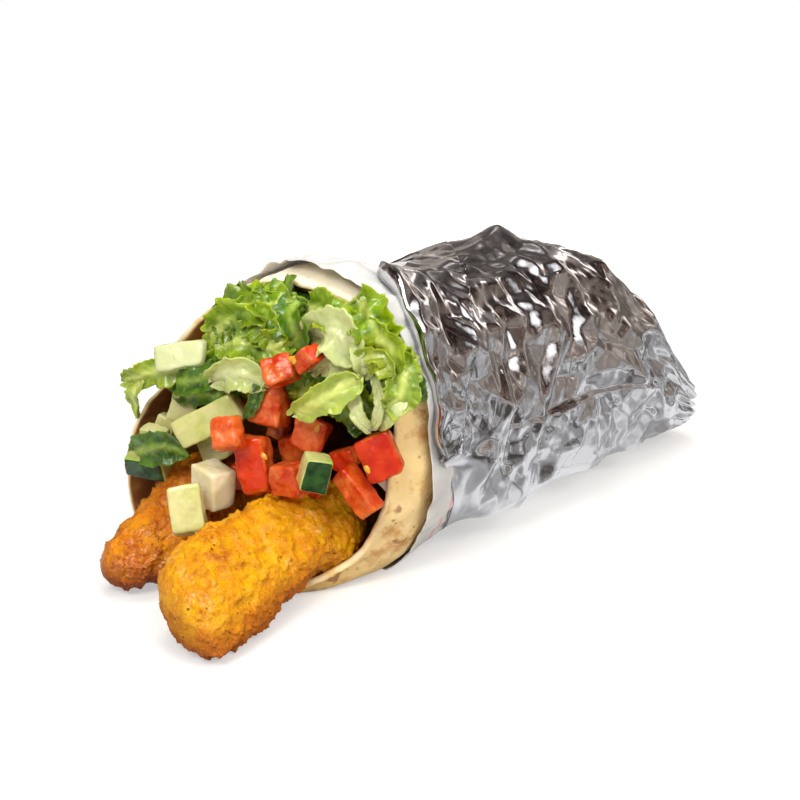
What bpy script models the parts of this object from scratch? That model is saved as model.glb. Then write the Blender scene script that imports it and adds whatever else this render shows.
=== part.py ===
"""A gyro wrap lying on its side: a rolled flatbread full of battered chicken, diced tomato and
cucumber, and lettuce, in a sleeve of paper inside a crumpled aluminium foil.

Frame: metres, +Z up. X runs along the roll, from its open mouth at -X to its crushed foil tail
at +X, and the near side faces -Y. The origin is on the flat underside that the roll rests on.
Angles round the roll are in degrees: 0 is the near side, 90 the top, 180 the far side and 270
the underside.
"""

import math
import random

import bmesh
import bpy
import numpy as np
from mathutils import Euler, Matrix, Vector
from mathutils.bvhtree import BVHTree

# Driving dimensions of the roll, at the bread's outer surface, from behind the mouth to the tail.
# The roll bends a little: SIDE_SHIFT is how far its middle lies towards the far side.
STATION_X = (-0.050, -0.020, 0.010, 0.035, 0.055, 0.070, 0.083, 0.093, 0.101)
HALF_WIDTH = (0.0415, 0.0405, 0.0412, 0.0390, 0.0330, 0.0268, 0.0180, 0.0110, 0.0060)
TOP_Z = (0.0828, 0.0815, 0.0832, 0.0783, 0.0665, 0.0545, 0.0395, 0.0275, 0.0190)
BOTTOM_Z = (0.0005, 0.0005, 0.0005, 0.0008, 0.0018, 0.0034, 0.0050, 0.0065, 0.0080)
SIDE_SHIFT = (0.0020, 0.0060, 0.0085, 0.0105, 0.0095, 0.0060, 0.0010, -0.0030, -0.0050)
ROW_STEP = 0.0022  # the least distance between two rows of a sheet
ROUNDNESS = 2.3  # exponent of the section's superellipse: 2 is an ellipse, more is squarer
PRESSED_Z = 0.0024  # how high over the table the bread is pressed flat, with its wrapping below
MOUTH_PRESSED_Z = 0.0004  # the same in front, where nothing is below the bread

# The mouth has sagged: its radius at angles round the roll, from a middle 45 mm over the table.
MOUTH_RADIUS = {
    0: 0.0462, 25: 0.0485, 50: 0.0515, 64: 0.0496, 88: 0.0468, 113: 0.0422, 146: 0.0392, 180: 0.0440,
    207: 0.0514, 223: 0.0555, 245: 0.0500, 270: 0.0450, 303: 0.0525, 325: 0.0502, 340: 0.0484,
}
MOUTH_CENTRE_Z = 0.045
MOUTH_SHAPE_TO_X = -0.082  # the mouth's shape holds as far in as this, and then becomes the roll's

# The mouth is cut aslant: it leans towards the near side and a little upwards.
MOUTH_X = -0.1015
MOUTH_Z = 0.046
MOUTH_LEAN_SIDE = -0.35
MOUTH_LEAN_UP = 0.14
LIP_FORWARD = {
    0: 0.0, 90: 0.0, 180: 0.0, 225: 0.0, 250: 0.0030, 272: 0.0080, 296: 0.0135, 306: 0.0090, 316: 0.0, 335: 0.0,
}

BREAD_THICKNESS = 0.0045
BREAD_LAP_GAP = 0.0007
BREAD_START = 60.0  # the inner end of the sheet, under the flap
BREAD_LAPS_TO = 150.0  # how far round the flap reaches, over the inner end
BREAD_ROWS = (-0.101, -0.082, -0.066, -0.050, -0.020, 0.010, 0.035, 0.055, 0.070, 0.076)

PAPER_THICKNESS = 0.0004
PAPER_OFFSET = 0.0013
PAPER_ROWS = (-0.098, -0.082, -0.066, -0.050, -0.020, 0.010, 0.035, 0.055, 0.070, 0.080)
PAPER_EDGE = {
    0: -0.0750, 45: -0.0800, 90: -0.0885, 120: -0.0960, 150: -0.1075, 180: -0.1130, 222: -0.1080, 243: -0.0850,
    270: -0.0800, 315: -0.0740,
}

FOIL_THICKNESS = 0.0007
FOIL_OFFSET = 0.0027
FOIL_ROWS = (
    -0.066, -0.058, -0.050, -0.040, -0.030, -0.020, -0.010, 0.000, 0.010, 0.0225, 0.035, 0.045, 0.055,
    0.0625, 0.070, 0.0765, 0.083, 0.088, 0.093, 0.0975, 0.101, 0.1025,
)
FOIL_TAIL_Y = -0.0050
FOIL_TAIL_Z = 0.0125
FOIL_EDGE = {
    0: -0.0735, 15: -0.0755, 35: -0.0775, 50: -0.0765, 63: -0.0735, 74: -0.0610, 84: -0.0430, 94: -0.0290,
    108: -0.0150, 124: -0.0180, 150: -0.0400, 180: -0.0620, 230: -0.0640, 300: -0.0520, 335: -0.0600,
}
FOIL_DENTS = 70
FOIL_DENT_DEPTH = 0.0032
FOIL_PLEATS = 6
FOIL_PLEAT_DEPTH = 0.0022

CLEARANCE = 0.0004  # between pieces that touch
PUSH_YAW = 47.0  # the way in which the diced pieces are pushed into the mouth, from +X towards +Y
PUSH_DIP = 17.0
PUSH_COST = 0.45  # against moving aside
SMALLER_COST = 22.0

COLOURS = {
    "bread": ((0.72, 0.50, 0.24), 0.70, 0.0),
    "paper": ((0.80, 0.80, 0.78), 0.60, 0.0),
    "foil": ((0.80, 0.80, 0.80), 0.22, 1.0),
    "batter": ((0.80, 0.33, 0.02), 0.45, 0.0),
    "tomato": ((0.72, 0.07, 0.02), 0.20, 0.0),
    "cucumber": ((0.62, 0.72, 0.38), 0.25, 0.0),
    "lettuce": ((0.25, 0.42, 0.04), 0.35, 0.0),
    "onion": ((0.80, 0.72, 0.70), 0.25, 0.0),
}

# Each diced piece: its centre in the mouth's plane (across towards the near side, up, and out of
# the mouth), its size, and how it is turned (spin in the plane, tip forwards, turn sideways).
# The front pieces come first. Those behind slide in until they clear the ones before them.
TOMATO_DICE = (
    ("tomato_front_wedge", (0.0400, -0.0130, 0.0075), (0.0155, 0.0070, 0.0065), (-48, 8, 10)),
    ("tomato_tall_block", (0.0050, -0.0095, 0.0080), (0.0105, 0.0185, 0.0075), (12, 0, 8)),
    ("tomato_round_corner", (0.0015, 0.0000, 0.0170), (0.0090, 0.0105, 0.0070), (16, -10, 12)),
    ("tomato_near_wedge", (0.0420, -0.0035, 0.0030), (0.0115, 0.0140, 0.0070), (28, 10, 12)),
    ("tomato_low_cube", (0.0165, -0.0155, 0.0075), (0.0100, 0.0110, 0.0080), (8, 4, -6)),
    ("tomato_seed_wedge", (0.0210, 0.0005, 0.0040), (0.0100, 0.0110, 0.0075), (-22, -8, 14)),
    ("tomato_upper_cube", (0.0095, 0.0065, 0.0060), (0.0110, 0.0135, 0.0095), (-3, -6, 10)),
    ("tomato_top_block", (0.0140, 0.0190, 0.0095), (0.0100, 0.0080, 0.0075), (22, -12, 20)),
    ("tomato_top_tip", (0.0235, 0.0235, 0.0100), (0.0070, 0.0060, 0.0065), (38, 6, -14)),
    ("tomato_middle_cube", (0.0140, -0.0050, 0.0010), (0.0085, 0.0075, 0.0055), (14, 10, 4)),
    ("tomato_middle_chip", (0.0055, -0.0015, -0.0030), (0.0070, 0.0050, 0.0050), (-10, 6, 8)),
    ("tomato_near_slice", (0.0310, -0.0055, 0.0010), (0.0090, 0.0060, 0.0055), (14, 12, -8)),
    ("tomato_low_chip", (0.0220, -0.0155, 0.0010), (0.0065, 0.0065, 0.0055), (-12, 0, 10)),
    ("tomato_rim_chip", (0.0435, -0.0025, -0.0050), (0.0050, 0.0050, 0.0050), (6, 0, 0)),
    ("tomato_far_chip", (-0.0080, -0.0180, -0.0060), (0.0060, 0.0080, 0.0050), (4, 0, 8)),
    ("tomato_shade_chip", (-0.0050, 0.0070, -0.0020), (0.0050, 0.0050, 0.0050), (20, 0, 10)),
)
CUCUMBER_DICE = (
    ("cucumber_front_block", (-0.0050, -0.0220, 0.0270), (0.0100, 0.0140, 0.0090), (14, -8, 32)),
    ("cucumber_white_block", (-0.0055, -0.0175, 0.0140), (0.0115, 0.0125, 0.0090), (-9, 10, -12)),
    ("cucumber_skin_wedge", (0.0310, -0.0070, 0.0170), (0.0080, 0.0100, 0.0075), (-14, 4, 44)),
    ("cucumber_long_stick", (-0.0105, 0.0010, 0.0065), (0.0225, 0.0095, 0.0080), (31, 6, 14)),
    ("cucumber_round_slice", (-0.0120, -0.0130, 0.0010), (0.0120, 0.0110, 0.0042), (22, 4, -8)),
    ("cucumber_skin_slab", (-0.0335, -0.0200, 0.0040), (0.0140, 0.0065, 0.0090), (-4, 24, 12)),
    ("cucumber_small_chunk", (-0.0335, -0.0080, 0.0040), (0.0085, 0.0055, 0.0055), (-6, 14, 8)),
    ("cucumber_quarter", (-0.0275, 0.0025, 0.0025), (0.0100, 0.0125, 0.0060), (-13, -4, 18)),
    ("cucumber_half_moon", (-0.0365, -0.0025, -0.0010), (0.0070, 0.0105, 0.0045), (-16, 0, 10)),
)
OTHER_DICE = (
    ("lettuce_rib", (-0.0240, 0.0185, 0.0072), (0.0190, 0.0085, 0.0036), (13, -10, 4)),
    ("onion_slice", (0.0425, -0.0115, -0.0055), (0.0085, 0.0034, 0.0080), (-38, 0, 0)),
)

# Chicken strips, from the tip to the inner end: the middle line's points, half the width, half
# the thickness, and how far the far edge is tilted up.
CHICKEN_FRONT = (
    ((-0.1545, -0.0325, 0.0105), 0.0130, 0.0088, 25),
    ((-0.1490, -0.0325, 0.0115), 0.0165, 0.0098, 30),
    ((-0.1380, -0.0290, 0.0135), 0.0168, 0.0102, 36),
    ((-0.1260, -0.0262, 0.0150), 0.0162, 0.0100, 40),
    ((-0.1130, -0.0235, 0.0174), 0.0150, 0.0092, 42),
    ((-0.1000, -0.0208, 0.0188), 0.0142, 0.0087, 42),
    ((-0.0880, -0.0192, 0.0190), 0.0134, 0.0081, 40),
    ((-0.0780, -0.0185, 0.0188), 0.0112, 0.0076, 40),
)
CHICKEN_FAR = (
    ((-0.1480, 0.0140, 0.0080), 0.0045, 0.0050, 20),
    ((-0.1420, 0.0130, 0.0090), 0.0085, 0.0068, 22),
    ((-0.1330, 0.0125, 0.0110), 0.0120, 0.0080, 26),
    ((-0.1210, 0.0145, 0.0150), 0.0140, 0.0086, 32),
    ((-0.1080, 0.0180, 0.0195), 0.0145, 0.0090, 32),
    ((-0.0880, 0.0185, 0.0210), 0.0135, 0.0090, 26),
    ((-0.0620, 0.0160, 0.0210), 0.0115, 0.0080, 20),
)

# Lettuce heap: its outline in front of the mouth, as radii at angles round a middle that's given
# across and up in the mouth's plane, and then the depths of its rings and how wide each is.
HEAP_MIDDLE = (0.005, 0.022)
HEAP_RADIUS = {
    0: 0.0530, 13: 0.0460, 25: 0.0390, 38: 0.0270, 52: 0.0205, 67: 0.0235, 90: 0.0212, 122: 0.0225, 140: 0.0210,
    168: 0.0235, 184: 0.0330, 194: 0.0430, 205: 0.0340, 222: 0.0230, 250: 0.0150, 272: 0.0100, 300: 0.0150,
    322: 0.0260, 338: 0.0410, 350: 0.0500,
}
HEAP_CAP = ((0.0100, 0.35), (0.0085, 0.72), (0.0062, 0.93), (0.0042, 1.0), (0.0026, 0.97))
HEAP_FRONT = 0.0106
HEAP_THROAT = ((0.0016, 0.0560), (-0.0040, 0.0520), (-0.0120, 0.0400))  # out of the mouth, floor's Z
HEAP_CORE_X = (-0.070, -0.045, -0.015, 0.015, 0.035, 0.046)
HEAP_FLOOR_Z = 0.0335  # over the chicken
HEAP_SIDES = 32  # points round a ring, of which this many lie along the bread
HEAP_OVER = 22
HEAP_FROM = -15  # the cap's angles that go with them
HEAP_TO = 195
ONE_LAYER = 0.0072  # from the bread's outer surface to the lettuce, and the same where it's doubled
TWO_LAYERS = 0.0128


def clear_scene():
    for thing in list(bpy.data.objects):
        bpy.data.objects.remove(thing, do_unlink=True)


def new_collection(name, hidden=False):
    collection = bpy.data.collections.new(name)
    collection.hide_render = hidden
    bpy.context.scene.collection.children.link(collection)
    return collection


def food_material(name):
    """One Principled BSDF finish for each kind of stuff, made the first time it is asked for."""
    if name in bpy.data.materials:
        return bpy.data.materials[name]
    colour, roughness, metallic = COLOURS[name]
    material = bpy.data.materials.new(name)
    material.use_nodes = True
    shader = material.node_tree.nodes["Principled BSDF"]
    shader.inputs["Base Color"].default_value = (*colour, 1)
    shader.inputs["Roughness"].default_value = roughness
    shader.inputs["Metallic"].default_value = metallic
    return material


def add_object(name, built, collection, material, smooth=True):
    """The closed mesh becomes an object, with its faces turned outwards."""
    if built.calc_volume(signed=True) < 0:
        bmesh.ops.reverse_faces(built, faces=built.faces)
    mesh = bpy.data.meshes.new(name)
    built.to_mesh(mesh)
    built.free()
    if smooth:
        mesh.shade_smooth()
    mesh.materials.append(food_material(material))
    thing = bpy.data.objects.new(name, mesh)
    collection.objects.link(thing)
    return thing


def thicken(thing, thickness):
    """The sheet gets its thickness inwards, so its outer surface stays where it was made."""
    solid = thing.modifiers.new("thickness", "SOLIDIFY")
    solid.thickness = thickness
    solid.offset = -1


# The roll's section and the mouth's plane


def smoothstep(low, high, value):
    t = min(1.0, max(0.0, (value - low) / (high - low)))
    return t * t * (3 - 2 * t)


def round_the_roll(values_at):
    """A smooth closed curve through values given at a few angles round the roll."""
    angles = sorted(values_at)
    values = np.array([values_at[a] for a in angles])
    count = len(angles)
    at = np.array(angles, float)
    width = (np.roll(at, -1) - np.roll(at, 1)) % 360
    slope = (np.roll(values, -1) - np.roll(values, 1)) / width

    def read(angle):
        angle = angle % 360
        k = int(np.searchsorted(at, angle, side="right")) - 1
        low, high = k % count, (k + 1) % count
        step = (at[high] - at[low]) % 360
        t = ((angle - at[low]) % 360) / step
        return float(
            values[low] * (1 + 2 * t) * (1 - t) ** 2
            + slope[low] * step * t * (1 - t) ** 2
            + values[high] * t * t * (3 - 2 * t)
            + slope[high] * step * t * t * (t - 1)
        )

    return read


MOUTH_SHAPE = round_the_roll(MOUTH_RADIUS)
LIP = round_the_roll(LIP_FORWARD)


def station(values, x):
    """A value at x along the roll, between its stations."""
    return float(np.interp(x, STATION_X, values))


def roll_point(x, angle, offset=0.0):
    """A point on the roll's section at x, moved outwards by offset and pressed on the table."""
    c, s = math.cos(math.radians(angle)), math.sin(math.radians(angle))
    top, bottom = station(TOP_Z, x), station(BOTTOM_Z, x)
    half_height = (top - bottom) / 2
    flat = (abs(c) / station(HALF_WIDTH, x)) ** ROUNDNESS
    tall = (abs(s) / half_height) ** ROUNDNESS
    oval = (flat + tall) ** (-1 / ROUNDNESS)
    ease = min(1.0, max(0.0, (x - MOUTH_SHAPE_TO_X) / (STATION_X[0] - MOUTH_SHAPE_TO_X)))
    radius = MOUTH_SHAPE(angle) + (oval - MOUTH_SHAPE(angle)) * ease + offset
    y = station(SIDE_SHIFT, x) * ease - radius * c
    z = MOUTH_CENTRE_Z + ((top + bottom) / 2 - MOUTH_CENTRE_Z) * ease + radius * s
    lifted = min(1.0, max(0.0, (x - BREAD_ROWS[0]) / (BREAD_ROWS[1] - BREAD_ROWS[0])))
    table = MOUTH_PRESSED_Z + (PRESSED_Z - MOUTH_PRESSED_Z) * lifted
    return Vector((x, y, max(z, table * (1 - offset / FOIL_OFFSET))))


def rim_x(angle):
    """Where the slanting mouth cuts the roll at this angle."""
    x = MOUTH_X
    for _ in range(6):
        edge = roll_point(x, angle)
        x = MOUTH_X + MOUTH_LEAN_SIDE * edge.y + MOUTH_LEAN_UP * (edge.z - MOUTH_Z) - LIP(angle)
    return x


MOUTH_OUT = Vector((-1, MOUTH_LEAN_SIDE, MOUTH_LEAN_UP)).normalized()
MOUTH_UP = (Vector((0, 0, 1)) - MOUTH_OUT * MOUTH_OUT.z).normalized()
MOUTH_ACROSS = MOUTH_UP.cross(MOUTH_OUT)


def in_mouth(across, up, out):
    """A point in the part's frame, from its place in the mouth's plane."""
    centre = Vector((MOUTH_X, 0, MOUTH_Z))
    return centre + MOUTH_ACROSS * across + MOUTH_UP * up + MOUTH_OUT * out


# Sheets: bread, paper and foil


def sheet_mesh(across_steps, rows, start, place, closed):
    """A grid bent into a tube. Its first row lies at start(angle), and its other rows at the given
    x, or a little behind the start where that comes first. The nested sheets share rows at every
    station, so they stay as far apart between the rows as they are on them."""
    built = bmesh.new()
    bmesh.ops.create_grid(built, x_segments=across_steps, y_segments=len(rows), size=0.5)
    for vertex in built.verts:
        turn, row = vertex.co.x + 0.5, round((vertex.co.y + 0.5) * len(rows))
        first = start(turn)
        x = first if row == 0 else max(rows[row - 1], first + ROW_STEP * row)
        vertex.co = place(turn, x, row == len(rows))
    if closed:
        bmesh.ops.remove_doubles(built, verts=built.verts, dist=1e-6)
    return built


def outwards(built):
    """Turns the sheet's faces away from the middle of the roll, before it gets its thickness."""
    facing = 0.0
    for face in built.faces:
        centre = face.calc_center_median()
        middle = Vector((centre.x, station(SIDE_SHIFT, centre.x), station(TOP_Z, centre.x) / 2))
        facing += face.normal.dot(centre - middle)
    if facing < 0:
        bmesh.ops.reverse_faces(built, faces=built.faces)


def add_sheet(name, built, collection, material, thickness, smooth=True):
    built.normal_update()
    outwards(built)
    mesh = bpy.data.meshes.new(name)
    built.to_mesh(mesh)
    built.free()
    if smooth:
        mesh.shade_smooth()
    mesh.materials.append(food_material(material))
    thing = bpy.data.objects.new(name, mesh)
    collection.objects.link(thing)
    thicken(thing, thickness)
    return thing


def bread_angle(turn):
    return BREAD_START + turn * (360 + BREAD_LAPS_TO - BREAD_START)


def under_flap(angle):
    """1 where the bread lies under its own flap, and 0 where it's the outer layer."""
    return 1 - smoothstep(BREAD_LAPS_TO + 2, BREAD_LAPS_TO + 50, angle)


def bread(collection):
    """A sheet rolled up once and a bit more: its inner end lies under its flap."""

    def start(turn):
        angle = bread_angle(turn)
        return rim_x(angle) + 0.0035 * under_flap(angle)

    def place(turn, x, last):
        angle = bread_angle(turn)
        return roll_point(x, angle, -(BREAD_THICKNESS + BREAD_LAP_GAP) * under_flap(angle))

    built = sheet_mesh(45, BREAD_ROWS, start, place, closed=False)
    return add_sheet("bread", built, collection, "bread", BREAD_THICKNESS)


def paper(collection):
    """A thin tube a little outside the bread, with a free edge that shows in front of the foil."""
    edge = round_the_roll(PAPER_EDGE)

    def place(turn, x, last):
        return roll_point(x, 360 * turn, PAPER_OFFSET)

    built = sheet_mesh(36, PAPER_ROWS, lambda turn: edge(360 * turn), place, closed=True)
    return add_sheet("paper", built, collection, "paper", PAPER_THICKNESS)


def dent_field(seed, count, wide, length):
    """Crumples: every dent is a shallow pyramid with three to five flat sides, and the lowest one
    counts at each place, so flat facets meet at sharp creases. It reads 0 to about 1."""
    rng = random.Random(seed)
    dents = []
    for _ in range(count):
        sides = rng.randint(3, 5)
        first = rng.uniform(0, 2 * math.pi)
        turns = [first + 2 * math.pi * k / sides for k in range(sides)]
        normals = [(math.cos(turn), math.sin(turn)) for turn in turns]
        dents.append((rng.uniform(0, wide), rng.uniform(0, length), rng.uniform(0, 0.35), normals))
    scale = math.sqrt(wide * length / count)

    def read(a, b):
        lowest = 1e9
        for centre_a, centre_b, rise, normals in dents:
            da = (a - centre_a + wide / 2) % wide - wide / 2
            db = b - centre_b
            lowest = min(lowest, rise + max(n[0] * da + n[1] * db for n in normals) / scale)
        return min(1.0, lowest)

    return read


def foil(collection):
    """A crumpled tube outside the paper, pleated towards the tail and closed there."""
    edge = round_the_roll(FOIL_EDGE)
    tail_x = FOIL_ROWS[-1]
    around = 2 * math.pi * HALF_WIDTH[0]
    dents = dent_field(11, FOIL_DENTS, around, tail_x - min(FOIL_EDGE.values()))

    def place(turn, x, last):
        if last:
            return Vector((tail_x, FOIL_TAIL_Y, FOIL_TAIL_Z))
        angle = 360 * turn
        crumple = FOIL_DENT_DEPTH * dents(around * turn, x - min(FOIL_EDGE.values()))
        tail = smoothstep(0.030, 0.085, x)
        pleats = FOIL_PLEAT_DEPTH * tail * (0.5 + 0.5 * math.cos(math.radians(FOIL_PLEATS * angle)))
        point = roll_point(x, angle, FOIL_OFFSET)
        lifted = smoothstep(0.004, 0.014, point.z)
        point = roll_point(x, angle, FOIL_OFFSET + (crumple + pleats) * lifted)
        point.z = max(point.z, 0.0)
        return point

    built = sheet_mesh(36, FOIL_ROWS, lambda turn: edge(360 * turn), place, closed=True)
    return add_sheet("foil", built, collection, "foil", FOIL_THICKNESS, smooth=False)


# Chicken strips


def chicken_strip(name, stations, seed, collection):
    """A battered strip: a sphere drawn out along a bent middle line, flattened and knobbly."""
    rng = random.Random(seed)
    knobs = [(rng.uniform(0, 1), rng.uniform(0, 2 * math.pi), rng.uniform(0.04, 0.10)) for _ in range(14)]
    steps = np.linspace(0, 1, len(stations))
    centres = np.array([s[0] for s in stations])
    built = bmesh.new()
    bmesh.ops.create_uvsphere(built, u_segments=18, v_segments=16, radius=1)
    for vertex in built.verts:
        run = math.acos(max(-1, min(1, vertex.co.z))) / math.pi
        around = math.atan2(vertex.co.y, vertex.co.x)
        middle = Vector([float(np.interp(run, steps, centres[:, k])) for k in range(3)])
        half_width, half_thick, tilt = (
            float(np.interp(run, steps, [s[k] for s in stations])) for k in (1, 2, 3)
        )
        close = (1 - abs(2 * run - 1) ** 6) ** 0.5
        swell = 1.0
        for at, side, size in knobs:
            facing = max(0.0, math.cos(around - side)) ** 2
            swell += size * facing * math.exp(-(((run - at) / 0.07) ** 2)) - 0.008
        wide = Vector((0, math.cos(math.radians(tilt)), math.sin(math.radians(tilt))))
        thick = Vector((0, -math.sin(math.radians(tilt)), math.cos(math.radians(tilt))))
        ring = wide * half_width * math.cos(around) + thick * half_thick * math.sin(around)
        vertex.co = middle + ring * close * swell
    return add_object(name, built, collection, "batter")


# Diced pieces


def dice_mesh(size, turns, centre, seed, grow=0.0):
    """A hand-cut block: a cube whose corners are moved a little, turned and set in the mouth."""
    rng = random.Random(seed)
    built = bmesh.new()
    bmesh.ops.create_cube(built, size=1)
    spin, tip, turn = (math.radians(t) for t in turns)
    axes = Matrix((MOUTH_ACROSS, MOUTH_UP, MOUTH_OUT)).transposed()
    turned = axes @ Euler((tip, turn, spin), "XYZ").to_matrix()
    for vertex in built.verts:
        uneven = Vector([1 + rng.uniform(-0.16, 0.10) for _ in range(3)])
        local = Vector([vertex.co[k] * (size[k] * uneven[k] + 2 * grow) for k in range(3)])
        vertex.co = centre + turned @ local
    bmesh.ops.triangulate(built, faces=built.faces, quad_method="FIXED")
    return built


def collides(built, others):
    """True where the piece cuts or lies inside any of the others."""
    tree = BVHTree.FromBMesh(built)
    middle = sum((v.co for v in built.verts), Vector()) / len(built.verts)
    for other, _ in others:
        if tree.overlap(other):
            return True
        nearest, normal, _, _ = other.find_nearest(middle)
        if (middle - nearest).dot(normal) < 0:
            return True
    return False


def tries():
    """Ways of moving a piece that's in the way, from the least to the most: further in, aside,
    or cut a little smaller."""
    yaw, dip = math.radians(PUSH_YAW), math.radians(PUSH_DIP)
    push = Vector((math.cos(yaw) * math.cos(dip), math.sin(yaw) * math.cos(dip), -math.sin(dip)))
    aside = Vector((math.sin(yaw), -math.cos(yaw), 0))
    above = aside.cross(push)
    found = []
    for k in range(-5, 24):
        for ring in range(9):
            for turn in range(1 if ring == 0 else 10):
                angle = 2 * math.pi * turn / 10
                for smaller in (1.0, 0.9, 0.8):
                    sideways = aside * math.cos(angle) + above * math.sin(angle)
                    shift = push * (0.001 * k) + sideways * 0.0009 * ring
                    cost = PUSH_COST * abs(k) + 0.9 * ring + SMALLER_COST * (1 - smaller)
                    found.append((cost, len(found), shift, smaller))
    return sorted(found)


def place_dice(rows, material, taken, room, collection):
    """Sets the pieces one by one, each moved as little as clears those set before it."""
    ways = tries()
    for name, place, size, turns in rows:
        centre = in_mouth(*place)
        for cost, _, shift, smaller in ways:
            cut = [smaller * side for side in size]
            grown = dice_mesh(cut, turns, centre + shift, name, CLEARANCE)
            if not collides(grown, taken):
                break
            grown.free()
        else:
            raise RuntimeError("no room for " + name)
        taken.append((BVHTree.FromBMesh(grown), name))
        grown.free()
        room.append((cut, turns, centre + shift, name))
        add_object(name, dice_mesh(cut, turns, centre + shift, name), collection, material, smooth=False)


def dice_room(room, cutters):
    """All the diced pieces grown by the clearance, as one cutter."""
    built = bmesh.new()
    for piece in room:
        grown = dice_mesh(*piece, CLEARANCE)
        if grown.calc_volume(signed=True) < 0:
            bmesh.ops.reverse_faces(grown, faces=grown.faces)
        mesh = bpy.data.meshes.new("room")
        grown.to_mesh(mesh)
        grown.free()
        built.from_mesh(mesh)
    cutter = add_object("dice_room", built, cutters, "lettuce")
    cutter.display_type = "WIRE"
    cutter.hide_render = True
    return cutter


def surface_tree(thing):
    """The finished surface of an object, as a tree that other pieces are tested against."""
    graph = bpy.context.evaluated_depsgraph_get()
    return BVHTree.FromObject(thing, graph), thing.name


# Lettuce


def mouth_x(y, z, out):
    """Where the mouth's plane, moved out by this much, is at y and z."""
    return MOUTH_X + MOUTH_LEAN_SIDE * y + MOUTH_LEAN_UP * (z - MOUTH_Z) + out / MOUTH_OUT.x


def inside_bread(x, angle):
    """A point on the heap's skin inside the roll."""
    angle = angle % 360
    doubled = smoothstep(42, 56, angle) * (1 - smoothstep(152, 200, angle))
    return roll_point(x, angle, -(ONE_LAYER + (TWO_LAYERS - ONE_LAYER) * doubled))


def bread_meets_floor(x_of, floor, below, above):
    """The angle at which the heap's skin meets its floor, between one below it and one above."""
    for _ in range(30):
        middle = (below + above) / 2
        if settled(x_of, floor, middle).z > floor:
            above = middle
        else:
            below = middle
    return (below + above) / 2


def settled(x_of, floor, angle):
    """A point on the heap's skin at this angle, where x depends on the point's own y and z."""
    point = inside_bread(MOUTH_X, angle)
    for _ in range(6):
        point = inside_bread(x_of(point.y, max(point.z, floor)), angle)
    return point


def heap_ring(x_of, floor):
    """A slice of the heap in the roll: along the bread from the near side, and back on the floor."""
    near = bread_meets_floor(x_of, floor, -60, 70)
    far = bread_meets_floor(x_of, floor, 240, 110)
    over = [settled(x_of, floor, near + (far - near) * k / (HEAP_OVER - 1)) for k in range(HEAP_OVER)]
    ring = []
    for point in over:
        y, z = point.y, max(point.z, floor)
        ring.append(Vector((x_of(y, z), y, z)))
    below = HEAP_SIDES - HEAP_OVER
    for k in range(1, below + 1):
        y = ring[HEAP_OVER - 1].y + (ring[0].y - ring[HEAP_OVER - 1].y) * k / (below + 1)
        ring.append(Vector((x_of(y, floor), y, floor)))
    return ring


def lettuce_heap(collection, cutter):
    """One lump: a cap in front of the mouth, and a core that fills the roll over the chicken."""
    outline = round_the_roll(HEAP_RADIUS)
    below = HEAP_SIDES - HEAP_OVER
    angles = [HEAP_FROM + (HEAP_TO - HEAP_FROM) * k / (HEAP_OVER - 1) for k in range(HEAP_OVER)]
    angles += [HEAP_TO + (HEAP_FROM + 360 - HEAP_TO) * k / (below + 1) for k in range(1, below + 1)]
    rings = []
    for out, share in HEAP_CAP:
        ring = []
        for angle in angles:
            radius = outline(angle) * share * (1 + 0.03 * math.sin(math.radians(9 * angle) + 700 * out))
            c, s = math.cos(math.radians(angle)), math.sin(math.radians(angle))
            ring.append(in_mouth(HEAP_MIDDLE[0] + radius * c, HEAP_MIDDLE[1] + radius * s, out))
        rings.append(ring)
    for out, floor in HEAP_THROAT:
        rings.append(heap_ring(lambda y, z, out=out: mouth_x(y, z, out), floor))
    for x in HEAP_CORE_X:
        rings.append(heap_ring(lambda y, z, x=x: x, HEAP_FLOOR_Z))
    built = bmesh.new()
    rows = [[built.verts.new(p) for p in ring] for ring in rings]
    for near, far in zip(rows, rows[1:]):
        for k in range(HEAP_SIDES):
            built.faces.new((near[k], near[(k + 1) % HEAP_SIDES], far[(k + 1) % HEAP_SIDES], far[k]))
    front = built.verts.new(in_mouth(*HEAP_MIDDLE, HEAP_FRONT))
    back = built.verts.new(sum((v.co for v in rows[-1]), Vector()) / HEAP_SIDES)
    for k in range(HEAP_SIDES):
        built.faces.new((rows[0][(k + 1) % HEAP_SIDES], rows[0][k], front))
        built.faces.new((rows[-1][k], rows[-1][(k + 1) % HEAP_SIDES], back))
    bmesh.ops.triangulate(built, faces=built.faces)
    thing = add_object("lettuce_heap", built, collection, "lettuce", smooth=False)
    cut = thing.modifiers.new("room for the diced pieces", "BOOLEAN")
    cut.operation = "DIFFERENCE"
    cut.solver = "EXACT"
    cut.object = cutter
    keep_largest_piece(thing)
    return thing


def keep_largest_piece(thing):
    """Applies the cut, and drops the crumbs of lettuce that it leaves between the diced pieces."""
    bpy.context.view_layer.update()
    built = bmesh.new()
    built.from_object(thing, bpy.context.evaluated_depsgraph_get())
    pieces, seen = [], set()
    for start in built.verts:
        if start in seen:
            continue
        piece, edge = {start}, [start]
        while edge:
            for link in edge.pop().link_edges:
                for vertex in link.verts:
                    if vertex not in piece:
                        piece.add(vertex)
                        edge.append(vertex)
        seen |= piece
        pieces.append(piece)
    largest = max(pieces, key=len)
    bmesh.ops.delete(built, geom=[v for v in built.verts if v not in largest], context="VERTS")
    thing.modifiers.clear()
    built.to_mesh(thing.data)
    built.free()


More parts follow.
